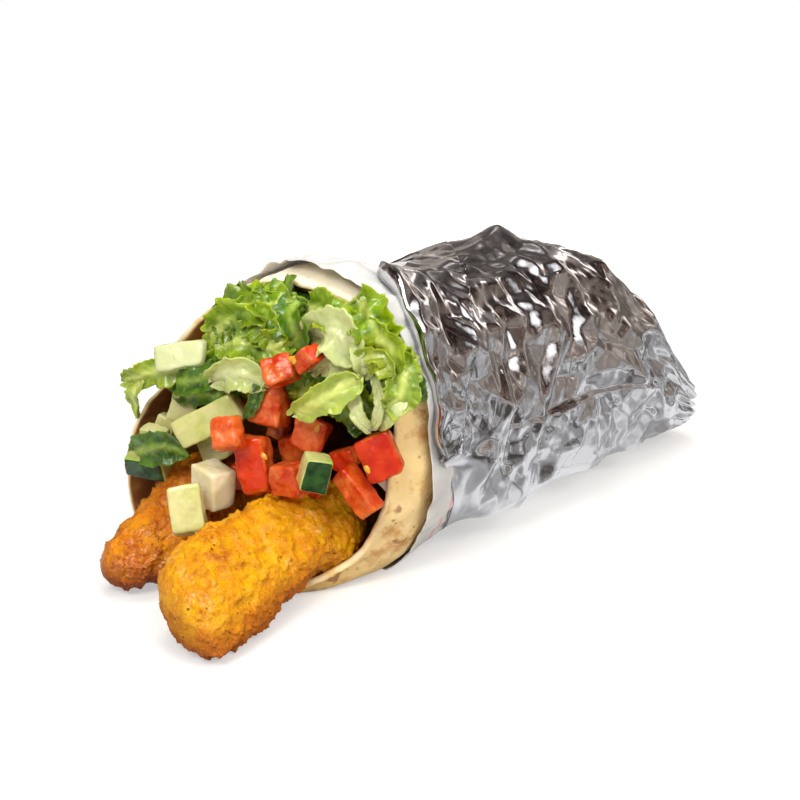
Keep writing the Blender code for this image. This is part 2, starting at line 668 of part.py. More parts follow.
def main():
    clear_scene()
    parts = new_collection("gyro_wrap")
    cutters = new_collection("cutters", hidden=True)
    foil(parts)
    sleeve = paper(parts)
    wrap = bread(parts)
    front = chicken_strip("chicken_front", CHICKEN_FRONT, 3, parts)
    far = chicken_strip("chicken_far", CHICKEN_FAR, 8, parts)
    bpy.context.view_layer.update()
    taken = [surface_tree(thing) for thing in (wrap, sleeve, front, far)]
    room = []
    place_dice(CUCUMBER_DICE[:3], "cucumber", taken, room, parts)
    place_dice(TOMATO_DICE, "tomato", taken, room, parts)
    place_dice(CUCUMBER_DICE[3:], "cucumber", taken, room, parts)
    place_dice(OTHER_DICE[:1], "lettuce", taken, room, parts)
    place_dice(OTHER_DICE[1:], "onion", taken, room, parts)
    lettuce_heap(parts, dice_room(room, cutters))


main()
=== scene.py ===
# %% [markdown]
# # A gyro wrap in foil
# A flatbread is rolled once round battered chicken, diced tomato and cucumber, and lettuce. Its
# back half sits in a sleeve of greaseproof paper inside crumpled aluminium foil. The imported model
# gives the frame: it says where every piece lies and how large it is. The cells below dress that
# frame, one piece at a time. Lengths are in metres, +Z is up, and X runs along the roll from its
# open mouth to its closed tail.

import math

import bpy
import numpy as np
from mathutils import Matrix, Vector


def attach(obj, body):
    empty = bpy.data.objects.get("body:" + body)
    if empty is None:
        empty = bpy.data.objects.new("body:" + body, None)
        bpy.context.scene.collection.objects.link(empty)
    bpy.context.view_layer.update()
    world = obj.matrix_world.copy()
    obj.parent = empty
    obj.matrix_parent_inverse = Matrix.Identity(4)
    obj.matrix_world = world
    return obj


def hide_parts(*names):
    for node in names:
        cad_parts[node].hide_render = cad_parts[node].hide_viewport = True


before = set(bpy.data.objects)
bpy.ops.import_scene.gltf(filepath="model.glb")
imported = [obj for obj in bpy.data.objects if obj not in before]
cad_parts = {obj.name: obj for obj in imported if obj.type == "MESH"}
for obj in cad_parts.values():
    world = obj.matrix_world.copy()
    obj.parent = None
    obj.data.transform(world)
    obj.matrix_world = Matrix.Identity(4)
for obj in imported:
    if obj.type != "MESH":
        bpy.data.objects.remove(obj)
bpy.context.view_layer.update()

# %% [markdown]
# ## Camera
# The wrap is seen from in front of its mouth and a little above. A long lens keeps its size even.
# The camera stands on a circle round the roll, and the two small slides set where the roll lies in
# the picture.

# %% Set the camera
AZIMUTH, ELEVATION = math.radians(-42.9), math.radians(16.7)
DISTANCE, SLIDE_RIGHT, SLIDE_UP = 0.475, -0.0315, -0.0118
BACK = np.array((
    math.sin(AZIMUTH) * math.cos(ELEVATION), -math.cos(AZIMUTH) * math.cos(ELEVATION), math.sin(ELEVATION),
))
RIGHT = np.array((math.cos(AZIMUTH), math.sin(AZIMUTH), 0.0))
ABOVE = np.cross(BACK, RIGHT)
EYE = np.array((0, 0, 0.045)) + BACK * DISTANCE + RIGHT * SLIDE_RIGHT + ABOVE * SLIDE_UP

camera = bpy.data.objects.new("camera", bpy.data.cameras.new("camera"))
camera.data.lens = 61.7
camera.data.sensor_width = 36.0
camera.data.clip_start, camera.data.clip_end = 0.01, 20.0
camera.matrix_world = Matrix([(RIGHT[k], ABOVE[k], BACK[k], EYE[k]) for k in range(3)] + [(0, 0, 0, 1)])
bpy.context.scene.collection.objects.link(camera)
bpy.context.scene.camera = camera
bpy.context.scene.view_settings.view_transform = "Standard"
print("camera at, mm:", [round(1000 * c) for c in EYE])

# %% [markdown]
# ## Light and floor
# Foil has no colour of its own: it shows what stands round it. So the room matters here. A dark
# brown ceiling with bright lamps gives the foil its dark bands and white glints, and the pale
# table gives its lower flank a warm grey, with painted dark and bright blotches that only
# reflections see. Soft area lights do the work on the food.

# %% Make the room and the lights
def linear(red, green, blue):
    """A colour as a screen shows it, 0 to 255, as the linear light that a shader works with."""
    values = np.array((red, green, blue)) / 255
    return tuple(np.where(values <= 0.04045, values / 12.92, ((values + 0.055) / 1.055) ** 2.4)) + (1.0,)


def wire(tree, source, output, target, entry):
    tree.links.new(source.outputs[output], target.inputs[entry])


def ramp(tree, stops, source=None, output=0, smooth=False):
    """A colour ramp: stops are (place, colour)."""
    node = tree.nodes.new("ShaderNodeValToRGB")
    node.color_ramp.interpolation = "EASE" if smooth else "LINEAR"
    band = node.color_ramp.elements
    while len(band) < len(stops):
        band.new(0.5)
    for element, (place, colour) in zip(band, stops):
        element.position, element.color = place, colour
    if source is not None:
        wire(tree, source, output, node, "Fac")
    return node


world = bpy.data.worlds.new("room")
bpy.context.scene.world = world
world.use_nodes = True
air = world.node_tree
air.nodes.clear()
sky = air.nodes.new("ShaderNodeBackground")
plain = air.nodes.new("ShaderNodeBackground")
choose = air.nodes.new("ShaderNodeMixShader")
rays = air.nodes.new("ShaderNodeLightPath")
outlet = air.nodes.new("ShaderNodeOutputWorld")
where = air.nodes.new("ShaderNodeTexCoord")
split = air.nodes.new("ShaderNodeSeparateXYZ")
wire(air, where, "Generated", split, "Vector")
heights = ramp(air, [
    (0.00, linear(176, 170, 164)), (0.49, linear(170, 164, 158)), (0.56, linear(146, 138, 132)),
    (0.68, linear(112, 100, 94)), (0.78, linear(58, 46, 42)), (1.0, linear(62, 52, 48)),
])
clutter = air.nodes.new("ShaderNodeTexNoise")
clutter.inputs["Scale"].default_value, clutter.inputs["Detail"].default_value = 2.4, 3.0
wire(air, where, "Generated", clutter, "Vector")
patches = ramp(air, [
    (0.42, (0.40, 0.36, 0.34, 1)), (0.52, (1.1, 1.05, 1.0, 1)), (0.59, (1.8, 1.75, 1.7, 1)), (0.68, (9.0, 9.0, 9.0, 1)),
], clutter)
lift = air.nodes.new("ShaderNodeMath")
lift.operation = "MULTIPLY_ADD"
lift.inputs[1].default_value, lift.inputs[2].default_value = 0.5, 0.5
wire(air, split, "Z", lift, 0)
wire(air, lift, 0, heights, "Fac")
lit = air.nodes.new("ShaderNodeVectorMath")
lit.operation = "MULTIPLY"
wire(air, heights, "Color", lit, 0)
wire(air, patches, "Color", lit, 1)


def panel(way, first, last, strength):
    """A soft bright patch in the room: 0 where a ray leaves the patch's middle by the first
    cosine, and full strength by the last."""
    toward = air.nodes.new("ShaderNodeVectorMath")
    toward.operation = "DOT_PRODUCT"
    toward.inputs[1].default_value = way
    wire(air, where, "Generated", toward, 0)
    made = air.nodes.new("ShaderNodeMapRange")
    for key, value in (("From Min", first), ("From Max", last), ("To Min", 0.0), ("To Max", strength)):
        made.inputs[key].default_value = value
    wire(air, toward, "Value", made, "Value")
    return made


def together(first, second, kind):
    made = air.nodes.new("ShaderNodeVectorMath")
    made.operation = kind
    air.links.new(first.outputs[0], made.inputs[0])
    air.links.new(second.outputs[0], made.inputs[1])
    return made


above_mouth = panel((-0.08, -0.52, 0.85), 0.80, 0.97, 2.3)
far_right = together(panel((0.60, 0.60, 0.53), 0.72, 0.95, 0.20), patches, "MULTIPLY")
wire(air, together(together(lit, above_mouth, "ADD"), far_right, "ADD"), 0, sky, "Color")
sky.inputs["Strength"].default_value = 1.0
plain.inputs["Color"].default_value = (1, 1, 1, 1)
plain.inputs["Strength"].default_value = 1.0
wire(air, rays, "Is Camera Ray", choose, "Fac")
wire(air, sky, 0, choose, 1)
wire(air, plain, 0, choose, 2)
wire(air, choose, 0, outlet, "Surface")


def lamp(name, place, aim, size, watts, colour=(1, 1, 1)):
    """A soft rectangular light that shines from place towards aim."""
    light = bpy.data.lights.new(name, "AREA")
    light.shape = "RECTANGLE"
    light.size, light.size_y = size
    light.energy, light.color = watts, colour
    thing = bpy.data.objects.new(name, light)
    thing.location = place
    away = np.array(place, float) - np.array(aim, float)
    thing.rotation_mode = "QUATERNION"
    thing.rotation_quaternion = Vector(away).to_track_quat("Z", "Y")
    bpy.context.scene.collection.objects.link(thing)
    return thing


lamp("window", (-0.75, -0.35, 0.75), (-0.05, 0, 0.03), (0.40, 0.40), 6.4, (0.95, 0.98, 1.0))
overhead = lamp("overhead", (0.05, 0.15, 1.05), (0, 0, 0.03), (0.5, 0.35), 4.8, (1.0, 0.98, 0.95))
near_side = lamp("near_side", (0.05, -0.80, 0.70), (-0.04, 0, 0.03), (0.6, 0.30), 3.4, (1.0, 0.97, 0.93))
overhead.visible_glossy = near_side.visible_glossy = False

# %% Lay the table
FLOOR_RADIUS = 1.3


def mesh_from(name, points, quads, triangles=()):
    """A mesh from arrays of points, four-sided faces and three-sided faces."""
    quads = np.asarray(quads, np.int32).reshape(-1, 4)
    triangles = np.asarray(triangles, np.int32).reshape(-1, 3)
    corners = np.concatenate([quads.ravel(), triangles.ravel()])
    starts = np.concatenate([np.arange(len(quads)) * 4, len(quads) * 4 + np.arange(len(triangles)) * 3])
    mesh = bpy.data.meshes.new(name)
    mesh.vertices.add(len(points))
    mesh.vertices.foreach_set("co", np.asarray(points, np.float32).ravel())
    mesh.loops.add(len(corners))
    mesh.loops.foreach_set("vertex_index", corners)
    mesh.polygons.add(len(starts))
    mesh.polygons.foreach_set("loop_start", starts.astype(np.int32))
    mesh.update(calc_edges=True)
    mesh.validate()
    mesh.shade_smooth()
    return mesh


turns, steps = np.meshgrid(np.linspace(0, 2 * np.pi, 97)[:-1], np.linspace(0, 1, 40))
radii = FLOOR_RADIUS * steps
table_points = np.stack([radii * np.cos(turns), radii * np.sin(turns), 0 * radii], -1).reshape(-1, 3)
ring, side = np.meshgrid(np.arange(39), np.arange(96), indexing="ij")
beside = (side + 1) % 96
table_quads = np.stack([ring * 96 + side, ring * 96 + side + 96, ring * 96 + beside + 96, ring * 96 + beside], -1)
table_mesh = mesh_from("table_top", table_points, table_quads[:, ::-1])
table_top = bpy.data.objects.new("table_top", table_mesh)
bpy.context.scene.collection.objects.link(table_top)


def finish_named(name, roughness, colour=(0.8, 0.8, 0.8, 1), **settings):
    """A new Principled material, with the settings that are the same all over its surface."""
    material = bpy.data.materials.new(name)
    material.use_nodes = True
    shader = material.node_tree.nodes["Principled BSDF"]
    shader.inputs["Base Color"].default_value = colour
    shader.inputs["Roughness"].default_value = roughness
    for key, value in settings.items():
        shader.inputs[key.replace("_", " ")].default_value = value
    return material


pale = finish_named("pale_table", 0.8, linear(196, 194, 190), Emission_Color=(1, 1, 1, 1))
tree = pale.node_tree
far_off = tree.nodes.new("ShaderNodeVectorMath")
far_off.operation = "LENGTH"
wire(tree, tree.nodes.new("ShaderNodeTexCoord"), "Object", far_off, 0)
glow = tree.nodes.new("ShaderNodeMapRange")
for key, value in (("From Min", 0.22), ("From Max", 0.66), ("To Min", 0.02), ("To Max", 0.8)):
    glow.inputs[key].default_value = value
wire(tree, far_off, "Value", glow, "Value")
seen = tree.nodes.new("ShaderNodeMath")
seen.operation = "MULTIPLY_ADD"
seen.inputs[1].default_value = 0.42
wire(tree, tree.nodes.new("ShaderNodeLightPath"), "Is Camera Ray", seen, 0)
wire(tree, glow, 0, seen, 2)
wire(tree, seen, 0, tree.nodes["Principled BSDF"], "Emission Strength")
# Painted reflection: to glossy rays only, the table glows in dark and bright blotches, which the foil shows as
# reflected dark things and lights.
reflected_blotches = tree.nodes.new("ShaderNodeTexNoise")
reflected_blotches.inputs["Scale"].default_value, reflected_blotches.inputs["Detail"].default_value = 11.0, 3.0
wire(tree, tree.nodes.new("ShaderNodeTexCoord"), "Object", reflected_blotches, "Vector")
painted_reflection = tree.nodes.new("ShaderNodeEmission")
wire(tree, ramp(tree, [
    (0.40, linear(84, 78, 74)), (0.47, linear(150, 148, 146)), (0.55, linear(196, 195, 196)), (0.60, linear(255, 255, 255)),
], reflected_blotches), "Color", painted_reflection, "Color")
choose = tree.nodes.new("ShaderNodeMixShader")
wire(tree, tree.nodes.new("ShaderNodeLightPath"), "Is Glossy Ray", choose, "Fac")
wire(tree, tree.nodes["Principled BSDF"], 0, choose, 1)
wire(tree, painted_reflection, 0, choose, 2)
wire(tree, choose, 0, tree.nodes["Material Output"], "Surface")
table_mesh.materials.append(pale)

# %% [markdown]
# ## Noise
# Food is uneven at every size. One smooth noise in space, added up at smaller and smaller sizes,
# gives lumps, crumbs and crinkles. It's worked out for whole arrays of points at once.

# %% Make noise in space
def smooth(low, high, value):
    """Runs from 0 at low to 1 at high, level at both ends: 3t² - 2t³."""
    t = np.clip((np.asarray(value, float) - low) / (high - low), 0, 1)
    return t * t * (3 - 2 * t)


def lattice(cells, seed):
    """A value from -1 to 1 for each whole-number cell, mixed from its three numbers."""
    mixed = np.full(cells.shape[:-1], seed * 2654435761 % 4294967296, np.uint64)
    for axis, prime in enumerate((374761393, 668265263, 2246822519)):
        mixed = (mixed + (cells[..., axis].astype(np.int64) & 0xFFFFFFFF).astype(np.uint64) * np.uint64(prime))
        mixed = (mixed & np.uint64(0xFFFFFFFF))
        mixed = ((mixed ^ (mixed >> np.uint64(15))) * np.uint64(2246822519)) & np.uint64(0xFFFFFFFF)
    mixed = mixed ^ (mixed >> np.uint64(13))
    return (mixed & np.uint64(0xFFFFFF)).astype(float) / 0x7FFFFF - 1


def noise(points, cell, seed=0):
    """Smooth noise from -1 to 1: random values on a cubic lattice, eased from corner to corner."""
    place = np.asarray(points, float) / cell + 1000.5
    base = np.floor(place).astype(np.int64)
    part = place - base
    ease = part ** 3 * (part * (part * 6 - 15) + 10)
    total = np.zeros(place.shape[:-1])
    for corner in range(8):
        step = np.array((corner & 1, corner >> 1 & 1, corner >> 2 & 1))
        weight = np.prod(np.where(step == 1, ease, 1 - ease), -1)
        total += weight * lattice(base + step, seed)
    return total


def rough(points, cell, seed=0, times=4, keep=0.5):
    """Noise added up: each further layer has half the cell and keeps this share of the height."""
    return sum(keep ** k * noise(points, cell / 2 ** k, seed + 17 * k) for k in range(times))


# %% [markdown]
# ## The roll
# Bread, paper and foil follow one surface: a section that's a little squarer than an ellipse,
# placed at stations along the roll, and turning into the mouth's sagging outline at the front.
# Angles are in degrees: 0 is the near side, 90 the top, 180 the far side and 270 the underside.

# %% Describe the roll
STATION_X = (-0.050, -0.020, 0.010, 0.035, 0.055, 0.070, 0.083, 0.093, 0.101)
HALF_WIDTH = (0.0415, 0.0405, 0.0412, 0.0390, 0.0330, 0.0268, 0.0180, 0.0110, 0.0060)
TOP_Z = (0.0828, 0.0815, 0.0832, 0.0783, 0.0665, 0.0545, 0.0395, 0.0275, 0.0190)
BOTTOM_Z = (0.0005, 0.0005, 0.0005, 0.0008, 0.0018, 0.0034, 0.0050, 0.0065, 0.0080)
SIDE_SHIFT = (0.0020, 0.0060, 0.0085, 0.0105, 0.0095, 0.0060, 0.0010, -0.0030, -0.0050)
ROUNDNESS = 2.3
MOUTH_RADIUS = {
    0: 0.0462, 25: 0.0485, 50: 0.0515, 64: 0.0496, 88: 0.0468, 113: 0.0422, 146: 0.0392, 180: 0.0440,
    207: 0.0514, 223: 0.0555, 245: 0.0500, 270: 0.0450, 303: 0.0525, 325: 0.0502, 340: 0.0484,
}
MOUTH_CENTRE_Z = 0.045
MOUTH_SHAPE_TO_X = -0.082
MOUTH = np.array((-0.1015, 0.0, 0.046))
LEAN_SIDE, LEAN_UP = -0.35, 0.14
LIP_FORWARD = {
    0: 0.0, 90: 0.0, 180: 0.0, 225: 0.0, 250: 0.0030, 272: 0.0080, 296: 0.0135, 306: 0.0090, 316: 0.0, 335: 0.0,
}


def round_the_roll(values_at):
    """A smooth closed curve through values at a few angles: a cubic from each to the next, with
    the slope at each that its two neighbours give."""
    at = np.array(sorted(values_at), float)
    values = np.array([values_at[a] for a in sorted(values_at)], float)
    slope = (np.roll(values, -1) - np.roll(values, 1)) / ((np.roll(at, -1) - np.roll(at, 1)) % 360)

    def read(angle):
        angle = np.asarray(angle, float) % 360
        low = (np.searchsorted(at, angle, side="right") - 1) % len(at)
        high = (low + 1) % len(at)
        step = (at[high] - at[low]) % 360
        t = ((angle - at[low]) % 360) / step
        return (
            values[low] * (1 + 2 * t) * (1 - t) ** 2 + slope[low] * step * t * (1 - t) ** 2
            + values[high] * t * t * (3 - 2 * t) + slope[high] * step * t * t * (t - 1)
        )

    return read


mouth_radius = round_the_roll(MOUTH_RADIUS)
lip_forward = round_the_roll(LIP_FORWARD)


def roll_surface(x, angle, outwards=0.0, table=0.0):
    """Points on the roll: a superellipse at x, (|cos|/w)^n + (|sin|/h)^n = 1, mixed into the
    mouth's outline in front, moved outwards, and never lower than the table."""
    x, angle, outwards = np.broadcast_arrays(np.asarray(x, float), np.asarray(angle, float), outwards)
    c, s = np.cos(np.radians(angle)), np.sin(np.radians(angle))
    top, bottom = np.interp(x, STATION_X, TOP_Z), np.interp(x, STATION_X, BOTTOM_Z)
    flat = (np.abs(c) / np.interp(x, STATION_X, HALF_WIDTH)) ** ROUNDNESS
    tall = (np.abs(s) / ((top - bottom) / 2)) ** ROUNDNESS
    ease = smooth(MOUTH_SHAPE_TO_X, STATION_X[0] + 0.004, x)
    radius = mouth_radius(angle)
    radius = radius + ((flat + tall) ** (-1 / ROUNDNESS) - radius) * ease + outwards
    y = np.interp(x, STATION_X, SIDE_SHIFT) * ease - radius * c
    z = MOUTH_CENTRE_Z + ((top + bottom) / 2 - MOUTH_CENTRE_Z) * ease + radius * s
    return np.stack([x, y, np.maximum(z, table)], -1)


def rim_at(angle):
    """Where the slanting mouth cuts the roll at each angle, found by going back and forth."""
    x = np.full(np.shape(angle), MOUTH[0])
    for _ in range(8):
        edge = roll_surface(x, angle)
        x = MOUTH[0] + LEAN_SIDE * edge[..., 1] + LEAN_UP * (edge[..., 2] - MOUTH[2]) - lip_forward(angle)
    return x


OUT = np.array((-1, LEAN_SIDE, LEAN_UP))
OUT = OUT / np.linalg.norm(OUT)
UP = np.array((0, 0, 1)) - OUT * OUT[2]
UP = UP / np.linalg.norm(UP)
ACROSS = np.cross(UP, OUT)


def in_mouth(across, up, out):
    """Points from their places in the mouth's plane, in millimetres: across towards the near
    side, up, and out of the mouth."""
    mixed = np.multiply.outer(across, ACROSS) + np.multiply.outer(up, UP) + np.multiply.outer(out, OUT)
    return MOUTH + 0.001 * mixed


print("mouth's rim, mm:", np.round(1000 * rim_at(np.arange(0, 360, 45.0)), 1))

# %% [markdown]
# ## From rings to a closed skin
# Most pieces are a row of closed rings, like the hoops of a basket. Each ring is joined to the
# next by four-sided faces, and each end is closed by a fan to its middle, so every piece is a
# closed solid whose faces point outwards.

# %% Turn rings into pieces
def skin(rings, **values):
    """Closed rings, as an array (rings, points, 3), become one closed skin: faces between the
    rings, and a fan at each end. Values are numbers at every point, such as how browned it is."""
    rings = np.asarray(rings, float)
    rows, count = rings.shape[:2]
    ends = rings[[0, -1]].mean(1)
    points = np.concatenate([rings.reshape(-1, 3), ends])
    row, side = np.meshgrid(np.arange(rows - 1), np.arange(count), indexing="ij")
    beside = (side + 1) % count
    quads = np.stack([row * count + side, row * count + beside, (row + 1) * count + beside, (row + 1) * count + side], -1)
    around = np.arange(count)
    first = np.stack([(around + 1) % count, around, np.full(count, rows * count)], -1)
    last = np.stack([around, (around + 1) % count, np.full(count, rows * count + 1)], -1) + np.array((1, 1, 0)) * (rows - 1) * count
    part = {"points": points, "quads": quads.reshape(-1, 4), "triangles": np.concatenate([first, last])}
    part["values"] = {
        key: np.concatenate([np.broadcast_to(v, (rows, count)).ravel(), np.broadcast_to(v, (rows, count))[[0, -1]].mean(1)])
        for key, v in values.items()
    }
    return face_outwards(part)


def leaf_skin(front, back, **values):
    """Two grids of the same size, face to face, become one thin closed sheet: each row of the
    front and the same row of the back make a ring, and strips close the two ends."""
    rows, count = front.shape[:2]
    rings = np.concatenate([front, back[:, ::-1]], 1)
    wide = 2 * count
    row, side = np.meshgrid(np.arange(rows - 1), np.arange(wide), indexing="ij")
    beside = (side + 1) % wide
    quads = np.stack([row * wide + side, row * wide + beside, (row + 1) * wide + beside, (row + 1) * wide + side], -1)
    along = np.arange(count - 1)
    cap = np.stack([along + 1, along, wide - 1 - along, wide - 2 - along], -1)
    quads = np.concatenate([quads.reshape(-1, 4), cap, cap[:, ::-1] + (rows - 1) * wide])
    part = {"points": rings.reshape(-1, 3), "quads": quads, "triangles": np.zeros((0, 3), int)}
    part["values"] = {
        key: np.concatenate([np.broadcast_to(v, (rows, count)), np.broadcast_to(v, (rows, count))[:, ::-1]], 1).ravel()
        for key, v in values.items()
    }
    return face_outwards(part)


def face_outwards(part):
    """Turns every face round if the skin's signed volume, the sum of a·(b×c)/6, is below nothing."""
    p, q = part["points"], part["quads"]
    faces = np.concatenate([q[:, [0, 1, 2]], q[:, [0, 2, 3]], part["triangles"]])
    corner = p[faces] - p.mean(0)
    if np.einsum("ij,ij->", corner[:, 0], np.cross(corner[:, 1], corner[:, 2])) < 0:
        part["quads"], part["triangles"] = q[:, ::-1], part["triangles"][:, ::-1]
    return part


def piece(name, parts, material, slot, *nodes):
    """One object from one or more skins, with the given finish. It rides on the frame's only body
    and stands for the given CAD nodes, which it hides. The slot is not used."""
    points, quads, triangles, start = [], [], [], 0
    for part in parts:
        points.append(part["points"])
        quads.append(part["quads"] + start)
        triangles.append(part["triangles"] + start)
        start += len(part["points"])
    mesh = mesh_from(name, np.concatenate(points), np.concatenate(quads), np.concatenate(triangles))
    for key in parts[0]["values"]:
        field = mesh.attributes.new(key, "FLOAT", "POINT")
        field.data.foreach_set("value", np.concatenate([part["values"][key] for part in parts]).astype(np.float32))
    mesh.materials.append(material)
    thing = bpy.data.objects.new(name, mesh)
    bpy.context.scene.collection.objects.link(thing)
    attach(thing, "root")
    if nodes:
        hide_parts(*nodes)
    print(f"{name}: {sum(len(p.vertices) - 2 for p in mesh.polygons)} triangles")
    return thing


# %% Make nodes for finishes
def node(tree, kind, **settings):
    """A node with some of its own settings and inputs given by name."""
    made = tree.nodes.new(kind)
    for key, value in settings.items():
        if hasattr(made, key):
            setattr(made, key, value)
        else:
            made.inputs[key.replace("_", " ")].default_value = value
    return made


def grain(tree, scale, detail=3.0, stretch=None, roughness=0.5, kind="ShaderNodeTexNoise", **settings):
    """A noise texture on Object coordinates, in cells per metre, drawn out along an axis if asked."""
    place = node(tree, "ShaderNodeTexCoord")
    made = tree.nodes.new(kind)
    made.inputs["Scale"].default_value = scale
    if kind == "ShaderNodeTexNoise":
        made.inputs["Detail"].default_value = detail
        made.inputs["Roughness"].default_value = roughness
    for key, value in settings.items():
        if hasattr(made, key):
            setattr(made, key, value)
        else:
            made.inputs[key.replace("_", " ")].default_value = value
    if stretch is None:
        wire(tree, place, "Object", made, "Vector")
    else:
        mapping = node(tree, "ShaderNodeMapping")
        mapping.inputs["Scale"].default_value = stretch
        wire(tree, place, "Object", mapping, "Vector")
        wire(tree, mapping, "Vector", made, "Vector")
    return made


def blend(tree, low, high, by, by_output=0, kind="MIX"):
    """Mixes two colours, each a node or a colour, by a node's value."""
    made = tree.nodes.new("ShaderNodeMix")
    made.data_type, made.blend_type = "RGBA", kind
    for entry, given in (("A", low), ("B", high)):
        entry = [i for i in made.inputs if i.name == entry and i.type == "RGBA"][0]
        if hasattr(given, "outputs"):
            colour_out = [o for o in given.outputs if o.type == "RGBA"][0]
            tree.links.new(colour_out, entry)
        else:
            entry.default_value = given
    if hasattr(by, "outputs"):
        tree.links.new(by.outputs[by_output], made.inputs[0])
    else:
        made.inputs[0].default_value = by
    return made


def colour_from(tree, given):
    shader = tree.nodes["Principled BSDF"]
    tree.links.new([o for o in given.outputs if o.type == "RGBA"][0], shader.inputs["Base Color"])


def level(tree, given, low, high, output=0, to_low=0.0, to_high=1.0):
    """Stretches a value: low becomes to_low and high becomes to_high, and it stays between them."""
    made = tree.nodes.new("ShaderNodeMapRange")
    for key, value in (("From Min", low), ("From Max", high), ("To Min", to_low), ("To Max", to_high)):
        made.inputs[key].default_value = value
    tree.links.new(given.outputs[output], made.inputs["Value"])
    return made


def times(tree, first, second, kind="MULTIPLY"):
    """One value from two, each a node or a number."""
    made = tree.nodes.new("ShaderNodeMath")
    made.operation = kind
    for k, given in enumerate((first, second)):
        if hasattr(given, "outputs"):
            tree.links.new(given.outputs[0], made.inputs[k])
        else:
            made.inputs[k].default_value = given
    return made


def relief(tree, *heights, last=None):
    """Bumps, one on another: each is (height node, depth in metres, strength)."""
    for height, depth, strength in heights:
        made = tree.nodes.new("ShaderNodeBump")
        made.inputs["Distance"].default_value = depth
        made.inputs["Strength"].default_value = strength
        tree.links.new(height.outputs[0], made.inputs["Height"])
        if last is not None:
            tree.links.new(last.outputs[0], made.inputs["Normal"])
        last = made
    tree.links.new(last.outputs[0], tree.nodes["Principled BSDF"].inputs["Normal"])
    return last


def marked(tree, name):
    """A value that the mesh holds at every point."""
    made = tree.nodes.new("ShaderNodeAttribute")
    made.attribute_name = name
    return made


def fac(made):
    """The plain value that an attribute gives, as a node whose first output it is."""
    tree = made.id_data
    value = tree.nodes.new("ShaderNodeMath")
    value.operation = "ADD"
    value.inputs[1].default_value = 0.0
    tree.links.new(made.outputs["Fac"], value.inputs[0])
    return value

# %% [markdown]
# ## The flatbread
# Bread for a wrap is a soft disc about 4.5 mm thick, dusted with flour and pale outside, with toasted
# spots where it touched the griddle; the top of the roll is painted paler still, as light. Rolled
# up, its flap lies over its own inner end. One closed profile (out along the outside, round the
# rim and back along the inside) is carried round the roll from the inner end to the flap, which
# gives both layers and both rims in one skin.

# %% Bake the bread
BREAD_THICKNESS, BREAD_LAP_GAP = 0.0045, 0.0007
BREAD_START, BREAD_LAPS_TO = 60.0, 150.0
BREAD_BACK_X = 0.074


def rows_from(first, last, fine, count, power=1.0):
    """Rows that are close near the first value and further apart towards the last."""
    t = np.linspace(0, 1, count)
    return first + (last - first) * (fine * t + (1 - fine) * t ** power)


def bread_rings():
    """At each angle, a ring: outside from the back to the rim, a half circle round the rim, and
    inside from the rim to the back. The inner end lies one thickness further in, under the flap."""
    angles = np.linspace(BREAD_START, 360 + BREAD_LAPS_TO, 470)[:, None]
    under = 1 - smooth(BREAD_LAPS_TO + 2, BREAD_LAPS_TO + 50, angles)
    rim = rim_at(angles) + 0.0035 * under
    thick = BREAD_THICKNESS * (1 + 0.13 * rough(np.concatenate([angles / 9, 0 * angles, 0 * angles], 1)[:, None, :], 2.2, 5)[..., 0][:, None])
    middle = -(BREAD_THICKNESS + BREAD_LAP_GAP) * under - BREAD_THICKNESS / 2
    out_run = np.concatenate([np.linspace(1, 0.30, 9)[:-1], np.linspace(0.30, 0, 56)])[None, :]
    in_run = out_run[:, ::-1]
    bend = np.radians(np.linspace(90, -90, 13)[1:-1])[None, :]
    lip = 0.45 * thick
    depth = BREAD_BACK_X - rim - lip / 2
    x = np.concatenate([
        rim + lip / 2 + depth * out_run, rim + lip / 2 * (1 - np.cos(bend)), rim + lip / 2 + depth * in_run,
    ], 1)
    side = np.concatenate([np.ones_like(out_run), np.sin(bend), -np.ones_like(in_run)], 1)
    local = thick * (0.45 + 0.55 * smooth(0.0, 0.012, x - rim - lip / 2))
    outwards = middle - thick / 2 + local / 2 + side * local / 2
    back = smooth(BREAD_BACK_X - 0.012, BREAD_BACK_X, x)
    outwards = outwards - side * 0.0012 * back
    flat = roll_surface(x, angles, outwards)
    wave = 0.0006 * rough(flat, 0.016, 3) * (side > -0.5) + 0.00035 * rough(flat, 0.0045, 9, 2)
    wave = wave * (1 - smooth(-0.070, -0.050, x)) * smooth(0.003, 0.010, flat[..., 2])
    rings = roll_surface(x, angles, outwards + wave, 0.0003)
    face = 0.5 + 0.5 * side + 0 * x
    # Paler towards the top of the roll: flour, and painted light where the top of the roll is lit.
    floury = smooth(0.060, 0.088, rings[..., 2])
    return rings, face, floury


rings, face, floury = bread_rings()
crust = finish_named("flatbread", 0.72, Subsurface_Weight=0.12, Subsurface_Radius=(0.004, 0.002, 0.001), Subsurface_Scale=0.4)
tree = crust.node_tree
spots = level(tree, grain(tree, 88, 4, roughness=0.62), 0.52, 0.64)
deep = level(tree, grain(tree, 170, 3, roughness=0.6), 0.585, 0.66)
dusting = grain(tree, 420, 4, roughness=0.7)
outside = blend(tree, linear(240, 212, 152), linear(230, 190, 112), level(tree, grain(tree, 38, 3), 0.35, 0.68))
outside = blend(tree, outside, linear(198, 132, 56), times(tree, spots, 0.75))
outside = blend(tree, outside, linear(146, 78, 26), times(tree, deep, 0.72))
dots = level(tree, grain(tree, 230, kind="ShaderNodeTexVoronoi", feature="F1"), 0.09, 0.14, to_low=1.0, to_high=0.0)
outside = blend(tree, outside, linear(176, 96, 28), times(tree, times(tree, dots, level(tree, grain(tree, 90, 2), 0.42, 0.50)), 0.8))
outside = blend(tree, outside, linear(247, 233, 196), level(tree, dusting, 0.54, 0.75, to_high=0.45))
inside = blend(tree, linear(196, 138, 62), linear(120, 66, 18), level(tree, grain(tree, 55, 4, roughness=0.6), 0.36, 0.60))
